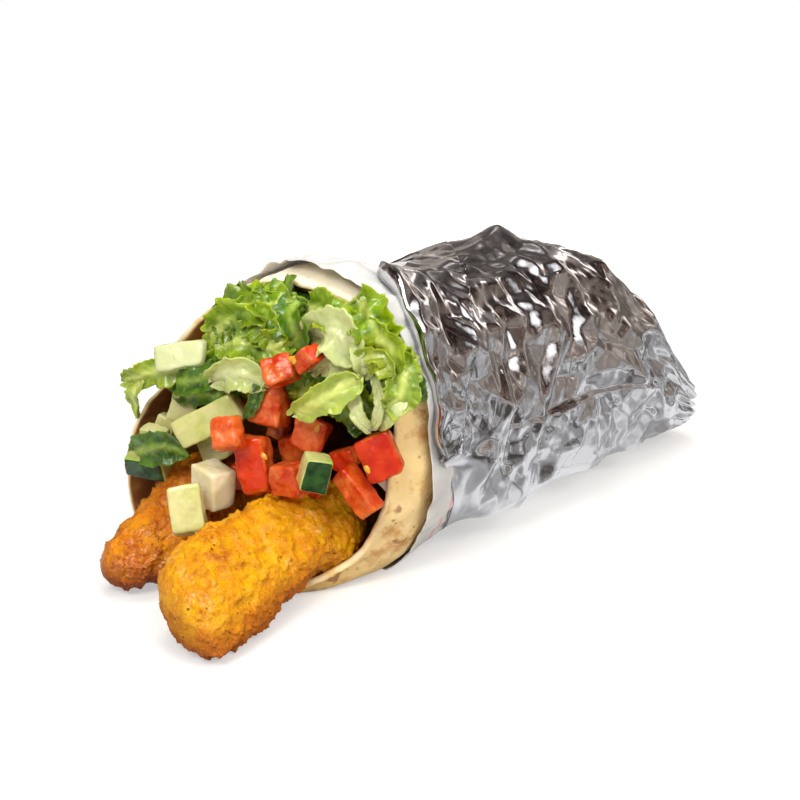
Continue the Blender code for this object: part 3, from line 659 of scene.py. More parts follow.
edge = blend(tree, linear(244, 226, 184), linear(228, 190, 124), level(tree, grain(tree, 210, 3), 0.40, 0.70))
# Flour and painted light: the top of the roll is mixed towards pale cream.
outside = blend(tree, outside, linear(250, 243, 222), times(tree, fac(marked(tree, "floury")), 0.75))
facing = fac(marked(tree, "face"))
lined = blend(tree, inside, edge, level(tree, facing, 0.02, 0.30))
colour_from(tree, blend(tree, lined, outside, level(tree, facing, 0.72, 0.97)))
relief(tree, (grain(tree, 160, 4, roughness=0.6), 0.0006, 0.55), (grain(tree, 900, 3), 0.00025, 0.5))
piece("bread_sheet", [skin(rings, face=face, floury=floury)], crust, "bread", "bread")

# %% [markdown]
# ## The greaseproof paper
# A thin white sheet lies between bread and foil. It's soft, so it shows wide shallow folds and
# stands a little away from the bread at its free edge. A band of print is a plain line of colour.

# %% Fold the paper
PAPER_EDGE = {
    0: -0.0755, 30: -0.0800, 50: -0.0828, 75: -0.0870, 95: -0.0885, 120: -0.0905, 150: -0.0960, 180: -0.1030,
    222: -0.1020, 243: -0.0860, 270: -0.0810, 315: -0.0745,
}
paper_edge = round_the_roll(PAPER_EDGE)


def paper_rings():
    """Each ring is the roll's section a little outside the bread, with folds that run from the
    free edge backwards and fade out; the way back is the same a thickness further in."""
    angles = np.linspace(0, 360, 361)[:-1][None, :]
    run = np.concatenate([np.linspace(0, 0.35, 70), np.linspace(0.35, 1, 14)[1:]])[:, None]
    first = paper_edge(angles) + 0.0006 * rough(np.stack([angles / 10, 0 * angles, 0 * angles], -1), 1.1, 21, 3)
    x = first + (0.078 - first) * run
    place = roll_surface(x, angles, 0.0013)
    drawn = place * np.array((0.30, 1, 1))
    fold = np.abs(rough(drawn, 0.013, 31, 3)) * 0.0022
    free = 1 - smooth(0.0, 0.055, x - first)
    over_top = smooth(40, 75, angles) * (1 - smooth(120, 150, angles))
    lift = smooth(0.003, 0.012, place[..., 2])
    spread = 0.0013 + (0.0004 + fold * (0.35 + 0.65 * free) * (1 + 0.5 * over_top)) * lift * (1 - 0.75 * smooth(-0.05, -0.02, x))
    outside = roll_surface(x, angles, spread, 0.0002)
    inside = roll_surface(x, angles, spread - 0.00022, 0.0003)
    line = np.exp(-(((x - first) - 0.0165 - 0.004 * np.sin(np.radians(angles * 2))) / 0.0006) ** 2)
    return np.concatenate([outside[::-1], inside[:-1]]), np.concatenate([line[::-1], 0 * line[:-1]])


rings, line = paper_rings()
wrapper = finish_named("greaseproof_paper", 0.42, Subsurface_Weight=0.10, Subsurface_Radius=(0.003, 0.003, 0.003), Subsurface_Scale=0.5)
tree = wrapper.node_tree
white = blend(tree, linear(222, 221, 218), linear(198, 197, 193), level(tree, grain(tree, 45, 3), 0.40, 0.65))
colour_from(tree, blend(tree, white, linear(236, 92, 96), times(tree, fac(marked(tree, "line")), 0.8)))
relief(tree, (grain(tree, 95, 4, roughness=0.55), 0.0011, 0.55), (grain(tree, 2200, 2), 0.0001, 0.25))
piece("paper_sheet", [skin(rings, line=line)], wrapper, "paper", "paper")

# %% [markdown]
# ## The foil
# Crumpled foil is made of flat facets that meet in sharp creases. A field of shallow pyramids,
# where the lowest counts at each place, gives just that: every pyramid is the highest of a few
# tilted planes. Three sizes of pyramid lie on each other. In front the foil is folded back on
# itself as a cuff that ends in a sharp step. Towards the tail, folds run together to a point.

# %% Crumple the foil
FOIL_EDGE = {
    0: -0.0735, 15: -0.0755, 35: -0.0775, 50: -0.0765, 63: -0.0735, 74: -0.0610, 84: -0.0430, 94: -0.0290, 108: -0.0150,
    124: -0.0180, 150: -0.040, 180: -0.062, 230: -0.064, 300: -0.052, 335: -0.060,
}
CUFF_BACK = {
    0: -0.0670, 15: -0.0610, 29: -0.0545, 40: -0.0485, 53: -0.0400, 68: -0.0295, 95: -0.0080, 130: 0.0040, 180: -0.020,
    230: -0.045, 270: -0.050, 300: -0.0475, 335: -0.0650, 348: -0.0735,
}
foil_edge, cuff_back = round_the_roll(FOIL_EDGE), round_the_roll(CUFF_BACK)
ROLL_ROUND = 0.262  # the way round the roll
TAIL = np.array((0.1025, -0.0050, 0.0125))


def facets(u, v, size, seed, wide=ROLL_ROUND):
    """Crumples on a sheet that's rolled up in u. Each cell of about this size holds one shallow
    pyramid, and at each place the lowest counts: the least over nearby cells of
    rise + max over the pyramid's planes of tilt·n·(p - middle)/size."""
    draw = np.random.default_rng(seed)
    columns, rows = max(3, round(wide / size)), 256
    step = wide / columns
    middle = draw.uniform(0.1, 0.9, (2, columns, rows))
    rise, sides = draw.uniform(0, 0.35, (columns, rows)), draw.integers(3, 6, (columns, rows))
    tilt, first = draw.uniform(0.5, 1.4, (5, columns, rows)), draw.uniform(0, 2 * np.pi, (columns, rows))
    wander = draw.uniform(-0.3, 0.3, (5, columns, rows))
    column, row = np.floor(u / step).astype(int), np.floor(v / step).astype(int)
    lowest = np.full(u.shape, 9.0)
    for aside in (-1, 0, 1):
        for ahead in (-1, 0, 1):
            at = (column + aside) % columns, (row + ahead) % rows
            du, dv = u / step - column - aside - middle[0][at], v / step - row - ahead - middle[1][at]
            highest = np.full(u.shape, -9.0)
            for k in range(5):
                turn = first[at] + 2 * np.pi * (k % sides[at] + wander[k][at]) / sides[at]
                highest = np.maximum(highest, tilt[k][at] * (np.cos(turn) * du + np.sin(turn) * dv))
            lowest = np.minimum(lowest, highest + rise[at])
    return np.clip(lowest, 0, 1.1)


def creases(u, v, count, seed):
    """Long sharp folds: a sum of |n·p - c| over a few directions, which is flat between folds."""
    draw = np.random.default_rng(seed)
    total = np.zeros(u.shape)
    for _ in range(count):
        turn, place, period = draw.uniform(0, 2 * np.pi), draw.uniform(0, 1), draw.uniform(0.016, 0.042)
        run = (np.cos(turn) * u + np.sin(turn) * v) / period + place
        total += np.abs((run % 1) * 2 - 1) * period / 0.03
    return total / count


RIDGES = (  # each: points (x in mm, angle), height and half width in mm
    (((-52, 36), (-34, 41), (-19, 38), (-3, 27), (23, 13), (56, -10)), 2.2, 11),
    (((-50, 38), (-22, 50), (6, 46), (27, 40), (48, 23), (63, 9)), -1.2, 6),
    (((-36, 34), (-43, 4), (-52, -24)), 1.6, 4.5), (((-33, 33), (-36, 0), (-44, -30)), -1.4, 4),
    (((-27, 22), (-18, -8), (-24, -36)), 1.5, 6), (((-4, 27), (-10, 20), (-19, 6), (-22, -2)), 1.7, 5),
    (((-4, 26), (-8, 12), (-18, 0), (-22, -26)), -1.4, 4.5), (((-40, 7), (-38, -18), (-27, -28)), 1.2, 4),
    (((8, -6), (-10, -26)), 1.4, 7), (((-28, 78), (-22, 50)), 1.4, 5), (((-10, 72), (-6, 46)), -1.4, 6),
    (((10, 88), (27, 42)), 1.2, 6), (((40, 80), (62, 30), (84, 0)), 1.3, 7), (((20, 100), (52, 55), (82, 20)), -1.2, 6),
    (((-50, -22), (-30, -60)), 1.4, 7), (((-16, -45), (12, -32), (40, -24)), 1.2, 6), (((30, 5), (60, -6), (88, -10)), 1.2, 7),
)


def ridge(u, x, points, high, wide):
    """A roof-shaped fold along a line: high·max(0, 1 - distance/wide), with the distance to the
    nearest of the line's straight runs."""
    nearest = np.full(np.broadcast(u, x).shape, 9.0)
    placed = [(ROLL_ROUND * (angle % 360) / 360, 0.001 * px) for px, angle in points]
    for (u0, x0), (u1, x1) in zip(placed, placed[1:]):
        du = (u1 - u0 + ROLL_ROUND / 2) % ROLL_ROUND - ROLL_ROUND / 2
        dx = x1 - x0
        a = (u - u0 + ROLL_ROUND / 2) % ROLL_ROUND - ROLL_ROUND / 2
        b = x - x0
        t = np.clip((a * du + b * dx) / (du * du + dx * dx), 0, 1)
        nearest = np.minimum(nearest, np.hypot(a - t * du, b - t * dx))
    return 0.001 * high * np.clip(1 - nearest / (0.001 * wide), 0, None)


def foil_rings():
    """Rings of the roll's section at the foil's distance, from the tail's point to the free edge
    and, a foil's thickness further in, back again with fewer rows."""
    angles = np.linspace(0, 360, 385)[:-1][None, :]
    run = np.concatenate([np.linspace(0, 0.28, 74)[:-1], np.linspace(0.28, 0.88, 92)[:-1], np.linspace(0.88, 1.0, 30)])[:, None]
    first = foil_edge(angles) + 0.0007 * rough(np.stack([angles / 7, 0 * angles, 0 * angles], -1), 1.2, 41, 3)
    x = first + (TAIL[0] - 0.0004 - first) * run
    u = ROLL_ROUND * angles / 360 + 0 * x
    warp = np.stack([u, x, 0 * x], -1)
    drift_u, drift_x = 0.0009 * noise(warp, 0.02, 1), 0.0009 * noise(warp, 0.02, 2)
    cuff = cuff_back(angles) + 0.0012 * noise(np.stack([angles / 16, 0 * angles, 0 * angles], -1), 1.0, 7)
    on_cuff = 1 - smooth(-0.0005, 0.0005, x - cuff)
    tail = smooth(0.045, 0.095, x)
    large = facets(u + drift_u, x + drift_x, 0.021, 5)
    middle = facets(u + 0.5 * drift_u, x + 0.5 * drift_x, 0.0122, 12)
    small = facets(u, x, 0.0056, 23)
    long_folds = creases(u + drift_u, x, 9, 3)
    flank = smooth(-40, -10, ((angles + 180) % 360) - 180) * (1 - smooth(34, 46, angles)) * smooth(-0.045, -0.03, x)
    calm = 1 - 0.45 * flank
    height = 0.0058 * large + 0.0014 * long_folds + 0.0034 * middle * calm + 0.00065 * small * calm - 0.0019
    behind = np.clip(x - cuff, 0, None)
    height = height + on_cuff * 0.0024 + 0.0005 * np.exp(-behind / 0.010) * (1 - on_cuff)
    crushed = facets(u, x, 0.0085, 31)
    flare = np.clip((x - first) / (cuff - first + 0.002), 0, 1)
    height = height * (1 - 0.45 * on_cuff) + on_cuff * (0.0036 * crushed + 0.0012 * flare)
    folds = 0.5 + 0.5 * np.cos(np.radians(angles * 13 + 40 * noise(warp, 0.05, 4)))
    folds = np.abs(folds * 2 - 1) ** 0.7
    height = height * (1 - 0.55 * tail) + 0.0022 * tail * folds
    for points, high, wide in RIDGES:
        height = height + ridge(u + 0.5 * drift_u, x + 0.5 * drift_x, points, high, wide) * (1 - 0.8 * on_cuff)
    height = np.maximum(height, 0) + 0.15 * np.minimum(height, 0)
    over = smooth(55, 85, angles) * (1 - smooth(125, 150, angles))
    height = height * (1 - 0.62 * over * (1 - smooth(0.020, 0.045, x - first))) * (1 - 0.18 * over)
    under = smooth(270, 300, angles % 360) * (1 - smooth(350, 358, angles % 360))
    height = height * (1 - 0.85 * under * (1 - smooth(0.004, 0.022, x - first)))
    x = x - 0.0020 * np.exp(-behind / 0.0025) * (1 - on_cuff)
    clear = 0.0024
    flat = roll_surface(x, angles, clear)
    lift = smooth(0.0035, 0.014, flat[..., 2])
    closing = 1 - smooth(0.0965, TAIL[0], x)
    outside = roll_surface(x, angles, clear + height * lift, 0.0)
    inside = roll_surface(x, angles, clear - 0.0004 + 0.15 * height * lift, 0.0002)
    outside, inside = (TAIL + (side - TAIL) * (0.12 + 0.88 * closing[..., None]) for side in (outside, inside))
    return np.concatenate([outside[::-1], inside[::6]]), (u, x, height)


rings, _ = foil_rings()
print("foil stands out, mm:", np.round(1000 * np.percentile(_[2], (5, 50, 95)), 1))
foil_finish = finish_named("foil", 0.16, linear(214, 214, 217), Metallic=1.0)
tree = foil_finish.node_tree
wire(tree, level(tree, grain(tree, 120, 4, roughness=0.6), 0.35, 0.70, to_low=0.08, to_high=0.22), 0, tree.nodes["Principled BSDF"], "Roughness")
relief(tree, (grain(tree, 230, 3, roughness=0.5), 0.0007, 0.16), (grain(tree, 900, 2), 0.0002, 0.10))
piece("foil_sleeve", [skin(rings)], foil_finish, "foil", "foil")

# %% [markdown]
# ## Battered chicken
# A strip of chicken in batter is a flattened sausage with a rough, craggy crust: broad lumps,
# crumbs on them, and pits between. The shape is an ellipse carried along a bent middle line, and
# noise at several sizes pushes it in and out. Its colour follows how far it stands out: ridges
# fry darker, pits stay yellow and a little flour is left in places. Near the table the batter is
# painted brown as shade.

# %% Fry the chicken
CHICKEN_FRONT = (
    ((-0.1545, -0.0325, 0.0105), 0.0130, 0.0088, 25), ((-0.1490, -0.0325, 0.0115), 0.0165, 0.0098, 30),
    ((-0.1380, -0.0290, 0.0135), 0.0168, 0.0102, 36), ((-0.1260, -0.0262, 0.0150), 0.0162, 0.0100, 40),
    ((-0.1130, -0.0235, 0.0174), 0.0150, 0.0092, 42), ((-0.1000, -0.0208, 0.0188), 0.0142, 0.0087, 42),
    ((-0.0880, -0.0192, 0.0190), 0.0134, 0.0081, 40), ((-0.0780, -0.0185, 0.0188), 0.0112, 0.0076, 40),
)
CHICKEN_FAR = (
    ((-0.1480, 0.0140, 0.0080), 0.0045, 0.0050, 20), ((-0.1420, 0.0130, 0.0090), 0.0085, 0.0068, 22),
    ((-0.1330, 0.0125, 0.0110), 0.0120, 0.0080, 26), ((-0.1210, 0.0145, 0.0150), 0.0140, 0.0086, 32),
    ((-0.1080, 0.0180, 0.0195), 0.0145, 0.0090, 32), ((-0.0880, 0.0185, 0.0210), 0.0135, 0.0090, 26),
    ((-0.0620, 0.0160, 0.0210), 0.0115, 0.0080, 20),
)


def along_line(knots, run):
    """A smooth line through knots that are evenly spaced in run, 0 to 1 (Catmull and Rom's cubic)."""
    knots = np.asarray(knots, float)
    place = np.clip(run, 0, 1) * (len(knots) - 1)
    at = np.minimum(place.astype(int), len(knots) - 2)
    t = (place - at)[..., None]
    a, b, c, d = (knots[np.clip(at + k, 0, len(knots) - 1)] for k in (-1, 0, 1, 2))
    return 0.5 * (2 * b + (c - a) * t + (2 * a - 5 * b + 4 * c - d) * t ** 2 + (3 * b - a - 3 * c + d) * t ** 3)


def strip_rings(stations, seed, lump, rows=230, around=250):
    """Ellipses along the middle line, half width by half thickness, tilted, closed at the ends
    by (1 - |2t-1|^6)^½, and pushed out along their own radius by lumps and crumbs."""
    run = 0.5 - 0.5 * np.cos(np.pi * np.linspace(0.012, 0.988, rows))[:, None]
    turn = np.linspace(0, 2 * np.pi, around + 1)[:-1][None, :]
    table = np.array([(*middle, wide, thick, tilt) for middle, wide, thick, tilt in stations])
    read = along_line(table, run)
    middle, half_wide, half_thick, tilt = read[..., :3], read[..., 3], read[..., 4], np.radians(read[..., 5])
    close = (1 - np.abs(2 * run - 1) ** 6) ** 0.5
    wide = np.stack([0 * tilt, np.cos(tilt), np.sin(tilt)], -1)
    thick = np.stack([0 * tilt, -np.sin(tilt), np.cos(tilt)], -1)
    spoke = wide * (half_wide * close * np.cos(turn))[..., None] + thick * (half_thick * close * np.sin(turn))[..., None]
    smooth_skin = middle + spoke
    way = spoke / (np.linalg.norm(spoke, axis=-1, keepdims=True) + 1e-9)
    broad = rough(smooth_skin, 0.014, seed, 2)
    crag = 1 - 2 * np.abs(rough(smooth_skin, 0.0058, seed + 3, 3))
    crumb = np.maximum(0, rough(smooth_skin, 0.0016, seed + 5, 3)) ** 1.3
    fine = noise(smooth_skin, 0.0006, seed + 9)
    out = lump * broad + 0.00085 * (crag - 0.3) + 0.00095 * crumb + 0.00014 * fine
    rings = smooth_skin + way * (out * (0.35 + 0.65 * close))[..., None]
    rings[..., 2] = np.maximum(rings[..., 2], 0.0004)
    raised = np.clip(0.5 + 0.35 * broad + 0.25 * (crag - 0.3) + 0.5 * crumb, 0, 1)
    # Painted shade: low is 1 at the table and fades out by about 15 mm up; it turns the batter brown there.
    low = 1 - smooth(0.003, 0.015, rings[..., 2] + 0.004 * broad)
    return rings, raised, low


def batter_finish(name, sunny, golden, brown, burnt, wet, flour):
    """Yellow in the pits, golden on the slopes, brown on the ridges and in fried patches, with
    dark specks of spice and pale flour. Towards the bottom it is browner: painted shade."""
    made = finish_named(name, 0.46, Specular_IOR_Level=0.30, Subsurface_Weight=0.12, Subsurface_Radius=(0.003, 0.0012, 0.0002), Subsurface_Scale=0.5, Coat_Weight=wet, Coat_Roughness=0.18)
    tree = made.node_tree
    raised = fac(marked(tree, "raised"))
    base = blend(tree, sunny, golden, level(tree, grain(tree, 130, 4, roughness=0.65), 0.36, 0.62))
    base = blend(tree, base, brown, times(tree, level(tree, raised, 0.60, 0.98), 0.55))
    patch = level(tree, grain(tree, 58, 4, roughness=0.65, stretch=(0.8, 1, 1)), 0.57, 0.68)
    base = blend(tree, base, brown, times(tree, patch, 0.75))
    base = blend(tree, base, sunny, times(tree, level(tree, grain(tree, 560, 3, roughness=0.65), 0.54, 0.66), 0.7))
    crumbs = level(tree, grain(tree, 1100, 3, roughness=0.7), 0.56, 0.68)
    base = blend(tree, base, burnt, times(tree, crumbs, 0.35))
    dust = times(tree, level(tree, grain(tree, 75, 4, roughness=0.7, stretch=(1, 1.3, 1)), 0.60, 0.72), level(tree, grain(tree, 900, 3, roughness=0.7), 0.42, 0.60))
    base = blend(tree, base, linear(244, 216, 150), times(tree, dust, flour))
    speck = level(tree, grain(tree, 310, kind="ShaderNodeTexVoronoi", feature="F1"), 0.10, 0.14, to_low=1.0, to_high=0.0)
    some = level(tree, grain(tree, 120, 2), 0.47, 0.53)
    # Painted shade: brown towards the bottom of the strip.
    base = blend(tree, base, brown, times(tree, fac(marked(tree, "low")), 0.80))
    colour_from(tree, blend(tree, base, linear(70, 34, 8), times(tree, times(tree, speck, some), 0.85)))
    relief(tree, (grain(tree, 480, 4, roughness=0.7), 0.0015, 0.95), (grain(tree, 1500, 3, roughness=0.7), 0.0004, 0.7))
    return made


golden = batter_finish("golden_batter", linear(240, 176, 4), linear(224, 140, 2), linear(174, 80, 2), linear(124, 48, 2), 0.20, 0.60)
oily = batter_finish("oily_batter", linear(230, 146, 6), linear(198, 102, 1), linear(146, 60, 2), linear(92, 36, 2), 0.45, 0.45)
rings, raised, low = strip_rings(CHICKEN_FRONT, 61, 0.0011)
piece("chicken_front_strip", [skin(rings, raised=raised, low=low)], golden, "batter", "chicken_front")
rings, raised, low = strip_rings(CHICKEN_FAR, 83, 0.0013)
piece("chicken_far_strip", [skin(rings, raised=raised, low=low)], oily, "batter", "chicken_far")

# %% [markdown]
# ## Diced tomato and cucumber
# A knife leaves flat faces, but wet flesh rounds off at once where they meet. Each CAD block gives
# its faces as planes: n is a plane's direction and h its distance from the block's middle. In any
# direction d, the rounded surface lies at r = (Σ (max(0, n·d)/h)^p)^(-1/p): p sets how sharp the
# edges stay. The planes that face one chosen way are the ones that carry the peel.

# %% Read the blocks and round them
def block_planes(name):
    """The middle of a CAD block, and its faces as unit normals and distances, each plane once."""
    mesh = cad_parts[name].data
    mesh.calc_loop_triangles()
    points = np.array([v.co for v in mesh.vertices], float)
    corners = points[np.array([t.vertices for t in mesh.loop_triangles])]
    normals = np.cross(corners[:, 1] - corners[:, 0], corners[:, 2] - corners[:, 0])
    area = np.linalg.norm(normals, axis=1)
    normals = normals / area[:, None]
    middle = (corners.mean(1) * area[:, None]).sum(0) / area.sum()
    distance = ((corners.mean(1) - middle) * normals).sum(1)
    return middle, normals, np.maximum(distance, 0.0006)


def sphere_grid(rows, around):
    """Directions on a globe, from pole to pole: an array (rows, around, 3)."""
    polar = np.linspace(0, np.pi, rows + 2)[1:-1][:, None]
    turn = np.linspace(0, 2 * np.pi, around + 1)[:-1][None, :]
    return np.stack([np.sin(polar) * np.cos(turn), np.sin(polar) * np.sin(turn), np.cos(polar) + 0 * turn], -1)


def cut_block(name, seed, sharp=13.0, peel=None, wobble=0.00022, rows=50, around=84):
    """A rounded block with a little unevenness. Peel is the way its peel faces, in the mouth's
    directions (across, up, out)."""
    middle, normals, distance = block_planes(name)
    way = sphere_grid(rows, around)
    lean = np.clip(np.einsum("ijk,lk->ijl", way, normals), 0, None) / distance
    share = lean ** sharp
    reach = share.sum(-1) ** (-1 / sharp) * 1.035
    points = middle + way * reach[..., None]
    uneven = wobble * rough(points, 0.0042, seed, 3) + 0.00006 * noise(points, 0.0011, seed + 1)
    points = points + way * uneven[..., None]
    skinned = np.zeros(reach.shape)
    if peel is not None:
        facing = in_mouth(*np.array(peel, float)) - MOUTH
        facing = facing / np.linalg.norm(facing)
        on_peel = (normals @ facing > 0.80) if np.any(normals @ facing > 0.80) else (normals @ facing >= (normals @ facing).max() - 0.05)
        skinned = (share * on_peel).sum(-1) / share.sum(-1)
        depth = 1 - (((points - middle) @ facing) / ((points - middle) @ facing).max())
    else:
        depth = np.ones(reach.shape)
    return skin(points, peel=skinned, depth=depth)

# %% Mix the finishes of tomato and cucumber
def tomato_finish():
    """Wet orange-red flesh with paler fibres and jelly in darker red patches; the peel is redder."""
    made = finish_named("tomato_flesh", 0.24, Subsurface_Weight=0.15, Subsurface_Radius=(0.003, 0.0007, 0.0003), Subsurface_Scale=0.5, Coat_Weight=0.28, Coat_Roughness=0.07, Specular_IOR_Level=0.32)
    tree = made.node_tree
    peel = fac(marked(tree, "peel"))
    flesh = blend(tree, linear(190, 46, 2), linear(222, 104, 40), level(tree, grain(tree, 150, 4, roughness=0.6), 0.40, 0.62))
    fibre = level(tree, grain(tree, 330, 4, roughness=0.6, stretch=(1, 0.35, 0.5)), 0.52, 0.72)
    flesh = blend(tree, flesh, linear(236, 140, 78), times(tree, fibre, 0.60))
    jelly = level(tree, grain(tree, 95, 2), 0.60, 0.68)
    flesh = blend(tree, flesh, linear(178, 28, 2), times(tree, jelly, 0.65))
    skin_red = blend(tree, linear(190, 28, 1), linear(212, 60, 6), level(tree, grain(tree, 110, 2), 0.4, 0.65))
    colour_from(tree, blend(tree, flesh, skin_red, level(tree, peel, 0.35, 0.75)))
    relief(tree, (grain(tree, 240, 4, roughness=0.6), 0.0009, 0.50), (grain(tree, 900, 3, roughness=0.65), 0.0004, 0.55))
    return made


def cucumber_finish(name, inner, outer):
    """Pale green, watery flesh, greener towards the peel, which is dark and glossy."""
    made = finish_named(name, 0.26, Subsurface_Weight=0.30, Subsurface_Radius=(0.004, 0.005, 0.0022), Subsurface_Scale=0.7, Coat_Weight=0.45, Coat_Roughness=0.07)
    tree = made.node_tree
    peel, depth = fac(marked(tree, "peel")), fac(marked(tree, "depth"))
    flesh = blend(tree, inner, outer, level(tree, grain(tree, 120, 4, roughness=0.6), 0.38, 0.66))
    fibre = level(tree, grain(tree, 420, 3, roughness=0.6, stretch=(1, 0.3, 1)), 0.50, 0.72)
    flesh = blend(tree, flesh, inner, times(tree, fibre, 0.55))
    flesh = blend(tree, linear(160, 184, 72), flesh, level(tree, depth, 0.02, 0.36))
    green = blend(tree, linear(16, 46, 10), linear(44, 92, 22), level(tree, grain(tree, 260, 3, stretch=(1, 0.4, 1)), 0.42, 0.70))
    colour_from(tree, blend(tree, flesh, green, level(tree, peel, 0.42, 0.58)))
    relief(tree, (grain(tree, 500, 3, roughness=0.6), 0.0003, 0.28), (grain(tree, 1700, 2), 0.0001, 0.2))
    return made


# %% Dice the tomato
TOMATO = tomato_finish()
TOMATO_PEEL = {
    "tomato_front_wedge": (0.5, 0.6, -0.4), "tomato_tall_block": (0, 0, 1), "tomato_near_wedge": (-0.3, 0.4, 1),
    "tomato_round_corner": (-0.8, 0.3, 0.4), "tomato_near_slice": (0, 0.6, 1), "tomato_rim_chip": (0, 0, 1),
    "tomato_low_chip": (0, 0, 1), "tomato_shade_chip": (0, 0, 1), "tomato_top_tip": (0.3, 1, 0),
}
TOMATO_SHARP = {"tomato_round_corner": 6.0, "tomato_top_tip": 8.0, "tomato_near_slice": 8.0, "tomato_near_wedge": 9.0}
tomato_nodes = sorted(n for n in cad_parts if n.startswith("tomato"))
diced = []
for k, name in enumerate(tomato_nodes):
    block = cut_block(name, 200 + 7 * k, sharp=TOMATO_SHARP.get(name, 11.0), peel=TOMATO_PEEL.get(name), wobble=0.0005)
    piece(name.replace("tomato_", "tomato_dice_"), [block], TOMATO, "tomato", name)
    diced.append(block["points"])


def seed_on(across, up, turn, long=1.35):
    """A seed, an egg-shaped grain, laid on the tomato that lies foremost at this place in the
    mouth: of all points within a millimetre, the one furthest out."""
    points = np.concatenate(diced) - MOUTH
    off = np.hypot(points @ ACROSS - 0.001 * across, points @ UP - 0.001 * up)
    near = points[off < max(0.001, off.min() + 0.0004)]
    spot = near[np.argmax(near @ OUT)] + MOUTH
    way = sphere_grid(14, 22)
    wide = 0.001 * (1 - 0.25 * way[..., 0])
    a, b = math.cos(math.radians(turn)), math.sin(math.radians(turn))
    egg = way[..., :1] * (a * ACROSS + b * UP) * 0.001 * long + (way[..., 1] * 0.85 * wide)[..., None] * (a * UP - b * ACROSS)
    return skin(spot + egg + (way[..., 2] * 0.55 * wide)[..., None] * OUT)


seed_finish = finish_named("tomato_seed", 0.14, linear(222, 162, 44), Subsurface_Weight=0.3, Subsurface_Radius=(0.002, 0.001, 0.0004), Subsurface_Scale=0.5, Coat_Weight=0.6, Coat_Roughness=0.05)
SEEDS = ((25.3, 2.5, 70), (11.8, -5.4, -35), (43.3, -6.2, -50), (22.3, 23.3, 80), (20.4, 24.6, 10))
piece("tomato_seeds", [seed_on(*one) for one in SEEDS], seed_finish, "tomato")

# %% Dice the cucumber
CUCUMBER = cucumber_finish("cucumber_flesh", linear(212, 206, 142), linear(182, 186, 98))
CUCUMBER_CORE = cucumber_finish("cucumber_core", linear(240, 228, 192), linear(226, 212, 156))
CUCUMBER_PEEL = {
    "cucumber_skin_wedge": (1, 0.2, 0.25), "cucumber_skin_slab": (0, 0.2, 1), "cucumber_quarter": (1, 0.3, 0.1),
    "cucumber_half_moon": (-1, 0, 0.4), "cucumber_round_slice": (-0.6, 0.8, 0),
}
for k, name in enumerate(sorted(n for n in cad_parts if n.startswith("cucumber"))):
    block = cut_block(name, 400 + 7 * k, sharp=9.0 if "round" in name else 16.0, peel=CUCUMBER_PEEL.get(name))
    piece(name.replace("cucumber_", "cucumber_dice_"), [block], CUCUMBER_CORE if "white" in name else CUCUMBER, "cucumber", name)

# %% [markdown]
# ## Lettuce
# Shredded lettuce is a heap of thin, wet, crinkled leaves. A leaf here is a grid: its midrib is a
# smooth line, its width changes along the line, and it cups, ruffles at its edges and crinkles
# between its veins. Front and back are two such grids 0.3 mm apart. The leaves that show are
# placed one by one; smaller ones fill the heap behind them, over a dark core whose colour is
# painted shade.

